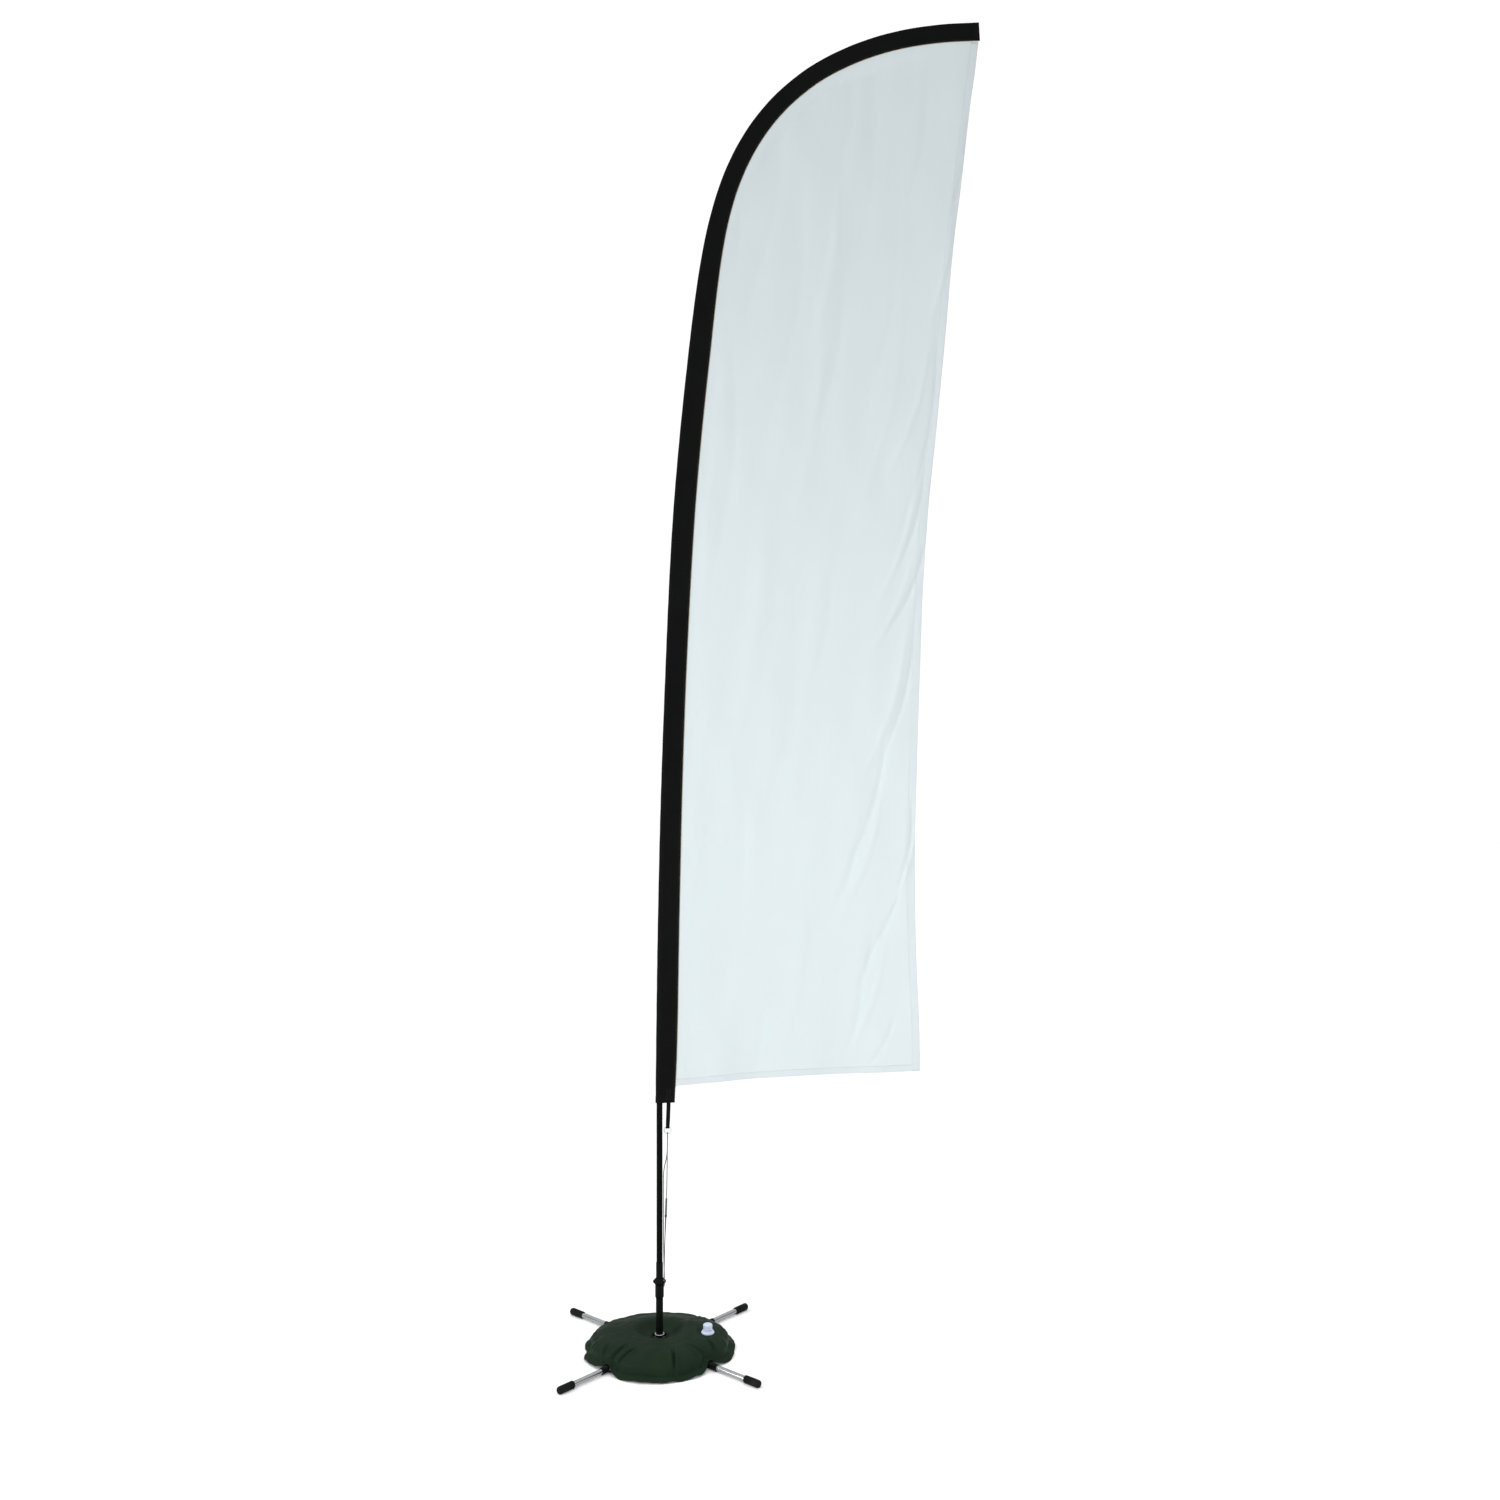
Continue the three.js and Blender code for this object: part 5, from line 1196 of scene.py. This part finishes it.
def sleeve_points():
    s = np.concatenate([
        np.array([SLEEVE_FROM, SLEEVE_FROM + 0.8, SLEEVE_FROM + 2.5, SLEEVE_FROM + 9, SLEEVE_FROM + 16, SLEEVE_FROM + 21.0, SLEEVE_FROM + 22.2]),
        np.arange(SLEEVE_FROM + 28, MAST_LEN - 8, 6.5), np.array([MAST_LEN - 7, MAST_LEN - 4.5, MAST_LEN - 2.4, MAST_LEN - 1.0, MAST_LEN - 0.3, MAST_LEN]),
    ])
    a, w = smooth_law(NOSE, s), smooth_law(WIDTH, s)
    w = w - a
    qs = np.array([0.07, 0.16, 0.25, 0.34, 0.43, 0.52, 0.61, 0.69, 0.76, 0.82, 0.865, 0.9])
    nose_a = np.linspace(math.pi, math.pi / 2, 9)[:-1]
    n_cols, b_cols = [], []
    # front ply from the seam in to the fold
    def flat_n(k):
        return w - 0 if k is None else w * k
    seam_n = [w, w - 0.5, w - 3.0, w - 7.5]
    seam_b = [0.42 + 0 * w, 0.62 + 0 * w, 0.66 + 0 * w, 0.72 + 0 * w]
    cols = list(zip(seam_n, seam_b))
    for q in qs[::-1]:
        n = (w - 9.0) * q
        b = np.maximum(a * sleeve_half(q), 0.8 + 0 * w)
        cols.append((n, b))
    cols.append((0 * w, a))
    for t in np.linspace(math.pi / 2, math.pi, 10)[1:]:
        cols.append((a * np.cos(t), a * np.sin(t)))
    front = cols
    N = np.stack([c[0] for c in front], axis=1)
    B = np.stack([c[1] for c in front], axis=1)
    # mirror for the rear ply, without repeating the fold
    N = np.concatenate([N, N[:, -2::-1]], axis=1)
    Bf = np.concatenate([-B, B[:, -2::-1]], axis=1)
    rear = Bf > 0
    S = np.broadcast_to(s[:, None], N.shape)
    A = np.broadcast_to(a[:, None], N.shape)
    W = np.broadcast_to(w[:, None], N.shape)
    # wrinkles: slanting pulls in the loose cloth between pole and seam, and small puckers at the stitching
    loose = smoothstep(0.02, 0.35, N / W) * (1 - smoothstep(0.80, 0.97, N / W))
    ph = np.where(rear, 1.9, 0.0)
    slant = np.where(rear, -0.55, 0.7)
    wr = 0.55 * np.sin((S + slant * N) / 11.5 + 1.7 * np.sin(S / 131 + ph) + ph) * (0.5 + 0.5 * np.sin(S / 97 + 2 * ph))
    wr += 0.8 * np.sin((S + 1.6 * slant * N) / 33 + 2.2 * np.sin(S / 270 + ph)) * (0.5 + 0.5 * np.sin(S / 173 + ph + 1))
    wr += 0.35 * np.sin((S - slant * N) / 6.3 + ph * 3) * (0.5 + 0.5 * np.sin(S / 61 + ph))
    seam = smoothstep(0.55, 0.95, N / W) * (N < W - 1.5)
    pucker = 0.26 * np.sin(S / 4.6 + 1.4 * np.sin(S / 29) + ph) * (0.5 + 0.5 * np.sin(S / 83 + ph))
    round_part = 1 - smoothstep(-0.05, 0.2, N / W)
    skin = 0.30 * np.sin((S + 8 * Bf) / 17 + 1.5 * np.sin(S / 90)) * round_part
    scale = A / 13.9
    d = (wr * loose + skin * 0.7) * scale + np.abs(pucker) * seam
    ends = smoothstep(SLEEVE_FROM, SLEEVE_FROM + 30, S) * (1 - smoothstep(MAST_LEN - 40, MAST_LEN - 8, S))
    d = d * (0.35 + 0.65 * ends)
    # the loose sleeve collapses a little between pole and seam
    d = d - 0.10 * A * loose * (0.6 + 0.4 * np.sin(S / 210 + ph))
    # the doubled hem at the mouth
    d = d + 0.4 * (S < SLEEVE_FROM + 21.6) * (S > SLEEVE_FROM - 1) * smoothstep(0.0, 0.6, np.where(N < W - 1, 1, 0))
    d = d - 0.3 * (S < SLEEVE_FROM + 0.4)
    half = np.hypot(1, 0)
    nose_dir_n = np.where(N < 0, N / np.maximum(A, 1e-6), 0.0)
    nose_dir_b = np.where(N < 0, Bf / np.maximum(A, 1e-6), np.sign(Bf))
    N2 = N + d * nose_dir_n
    B2 = Bf + d * nose_dir_b
    floor_b = 0.45
    B2 = np.where(rear, np.maximum(B2, floor_b * (N > 0)), np.minimum(B2, -floor_b * (N > 0)))
    # the closed tip
    close = 1 - 0.94 * smoothstep(MAST_LEN - 2.4, MAST_LEN, S) ** 1.0
    B2 = B2 * close
    return on_mast(S, N2, B2), s, N2, B2, w


sp, sleeve_s, sN, sB, sW = sleeve_points()
rows_n, cols_n = sp.shape[:2]
faces = grid_faces(rows_n, cols_n, wrap=True)
# close the tip across its flat end, front ply to rear ply
last = (rows_n - 1) * cols_n
for j in range(cols_n // 2):
    a, b = j, j + 1
    c, d = cols_n - 2 - j, cols_n - 1 - j
    if b == c:
        faces.append([last + a, last + b, last + d])
    elif b < c:
        faces.append([last + a, last + b, last + c, last + d])
sleeve = make("sleeve_cloth", sp.reshape(-1, 3), faces, SLEEVE.m, angle=70, weld=0.002)
solidify(sleeve, 0.45, offset=-1.0)
finish_piece(sleeve, "mast", ["pole_sleeve"])
seam_lines = np.linspace(0, 1, rows_n)


def sleeve_line(n_from_edge, rear, s0, s1, step=6.0, lift=0.0):
    """Points on the sleeve's seam allowance, and their outward normals."""
    s = np.arange(s0, s1, step)
    w = smooth_law(WIDTH, s) - smooth_law(NOSE, s)
    sign = 1.0 if rear else -1.0
    # the ply's half-thickness there, read from the mesh
    cols = np.arange(cols_n)
    target = w - n_from_edge
    b = np.empty(len(s))
    for i, si in enumerate(s):
        r = min(int(np.searchsorted(sleeve_s, si)), rows_n - 1)
        pick = [c for c in cols if (sB[r, c] > 0) == rear]
        nn, bb = sN[r, pick], np.abs(sB[r, pick])
        order = np.argsort(nn)
        b[i] = np.interp(target[i], nn[order], bb[order])
    return on_mast(s, target, sign * (b + lift)), np.tile([0.0, sign, 0.0], (len(s), 1))


runs = [sleeve_line(1.6, rear, SAIL_FOOT_S - 50, MAST_LEN - 10) for rear in (False, True)]
co, faces = stitches(runs, pitch=5.2, length=3.7, radius=0.3)
luff_stitch = make("luff_stitching", co, faces, THREAD_TAN.m, angle=70, outward=False)
finish_piece(luff_stitch, "mast")

# mouth hem stitching and the box stitch that holds the strap, in black thread
runs = []
for rear in (False, True):
    sign = 1.0 if rear else -1.0
    r = int(np.argmin(np.abs(sleeve_s - (SLEEVE_FROM + 16))))
    pick = [c for c in range(cols_n) if ((sB[r, c] > 0) == rear)]
    line = sp[r, pick]
    order = np.argsort(sN[r, pick])
    line = line[order]
    nrm = np.stack([np.where(sN[r, pick][order] < 0, sN[r, pick][order] / 13.9, 0), sB[r, pick][order] / np.maximum(np.abs(sB[r, pick][order]), 1e-6), 0 * order], axis=1)
    runs.append((respaced(line, 2.0), np.tile([0, sign, 0], (len(respaced(line, 2.0)), 1)).astype(float)))


def on_sleeve(s, n, rear):
    r = int(np.argmin(np.abs(sleeve_s - s)))
    pick = [c for c in range(cols_n) if (sB[r, c] > 0) == rear]
    nn, bb = sN[r, pick], np.abs(sB[r, pick])
    order = np.argsort(nn)
    return (1.0 if rear else -1.0) * (float(np.interp(n, nn[order], bb[order])) + 0.05)


runs += [sleeve_line(6.6, rear, SAIL_FOOT_S - 50, MAST_LEN - 10) for rear in (False, True)]
box = [(686, 24.5), (686, 38.5), (722, 38.5), (722, 24.5), (686, 24.5), (722, 38.5), (722, 24.5), (686, 38.5)]
for rear in (False, True):
    for (s0, n0), (s1, n1) in zip(box[:-1], box[1:]):
        m = max(3, int(math.hypot(s1 - s0, n1 - n0) / 2))
        ss, ns = np.linspace(s0, s1, m), np.linspace(n0, n1, m)
        line = np.array([on_mast(a, b, on_sleeve(a, b, rear)) for a, b in zip(ss, ns)])
        runs.append((line, np.tile([0.0, 1.0 if rear else -1.0, 0.0], (m, 1))))
    # closing rows across the tip
    for s_t in (MAST_LEN - 9, MAST_LEN - 13):
        ns = np.linspace(12, float(sW[-1]) - 3, 26)
        line = np.array([on_mast(s_t, b, on_sleeve(s_t, b, rear)) for b in ns])
        runs.append((line, np.tile([0.0, 1.0 if rear else -1.0, 0.0], (len(ns), 1))))
co, faces = stitches(runs, pitch=3.6, length=2.7, radius=0.33)
black_stitch = make("sleeve_stitching", co, faces, THREAD_BLACK.m, angle=70, outward=False)
finish_piece(black_stitch, "mast")

# a fine overlocked edge, tan, where the sail leaves the sleeve
s = np.arange(SAIL_FOOT_S - 1, MAST_LEN - 2, 5.0)
w = smooth_law(WIDTH, s) - smooth_law(NOSE, s)
edging = []
for sign in (-1, 1):
    line = on_mast(s, w + 0.35, sign * 0.62)
    edging.append(tube_co(line, lambda d, a: 0.52 + 0.10 * np.sin(TAU * d / 2.6 * 0 + a) * 0 + 0 * d, seg=8))
co, faces = merged(edging)
edge_cord = make("luff_edging", co, faces, THREAD_TAN.m, angle=60)
finish_piece(edge_cord, "mast")

# ------------------------------------------------------------------ stage, light
floor_mesh = bpy.data.meshes.new("floor")
n = 25
g = np.linspace(-45, 45, n)
gx, gy = np.meshgrid(g, g, indexing="ij")
floor_mesh.from_pydata(np.stack([gx.ravel(), gy.ravel() + 5, 0 * gx.ravel() - 0.0002], axis=1).tolist(), [], grid_faces(n, n))
floor = bpy.data.objects.new("floor", floor_mesh)
SCENE.collection.objects.link(floor)
FLOOR = Look("floor_pale", (0.975, 0.975, 0.975), 0.9, specular=0.0)
floor_mesh.materials.append(FLOOR.m)

world = bpy.data.worlds.new("studio")
SCENE.world = world
world.use_nodes = True
wn, wl = world.node_tree.nodes, world.node_tree.links
wn.clear()
w_out = wn.new("ShaderNodeOutputWorld")
back = wn.new("ShaderNodeBackground")
back.inputs[0].default_value = (1.0, 1.0, 1.0, 1)
back.inputs[1].default_value = 1.05
sky = wn.new("ShaderNodeBackground")
tc = wn.new("ShaderNodeTexCoord")
sep = wn.new("ShaderNodeSeparateXYZ")
wl.new(tc.outputs["Generated"], sep.inputs[0])
ramp = wn.new("ShaderNodeValToRGB")
ramp.color_ramp.elements[0].position = 0.0
ramp.color_ramp.elements[0].color = (0.12, 0.125, 0.13, 1)
ramp.color_ramp.elements[1].position = 1.0
ramp.color_ramp.elements[1].color = (1.0, 1.0, 1.0, 1)
k = ramp.color_ramp.elements.new(0.32)
k.color = (0.33, 0.335, 0.34, 1)
wl.new(sep.outputs[2], ramp.inputs[0])
wl.new(ramp.outputs[0], sky.inputs[0])
sky.inputs[1].default_value = 1.56
path = wn.new("ShaderNodeLightPath")
mixer = wn.new("ShaderNodeMixShader")
wl.new(path.outputs["Is Camera Ray"], mixer.inputs[0])
wl.new(sky.outputs[0], mixer.inputs[1])
wl.new(back.outputs[0], mixer.inputs[2])
wl.new(mixer.outputs[0], w_out.inputs[0])


def area(name, at, aim, size, power, colour=(1, 1, 1)):
    d = bpy.data.lights.new(name, "AREA")
    d.shape, d.size, d.energy, d.color = "DISK", size, power, colour
    o = bpy.data.objects.new(name, d)
    SCENE.collection.objects.link(o)
    o.location = at
    o.rotation_euler = (Vector(aim) - Vector(at)).to_track_quat("-Z", "Y").to_euler()
    return o


area("key", (-5.4, -2.1, 2.0), (0.5, 0, 1.5), 1.8, 170)
area("low_fill", (1.7, -3.4, 1.5), (0.6, 0, 1.6), 1.6, 43, (1.0, 0.965, 0.985))

SCENE.view_settings.view_transform = "Standard"
SCENE.view_settings.look = "None"
SCENE.view_settings.exposure = 0.0
SCENE.view_settings.gamma = 1.0
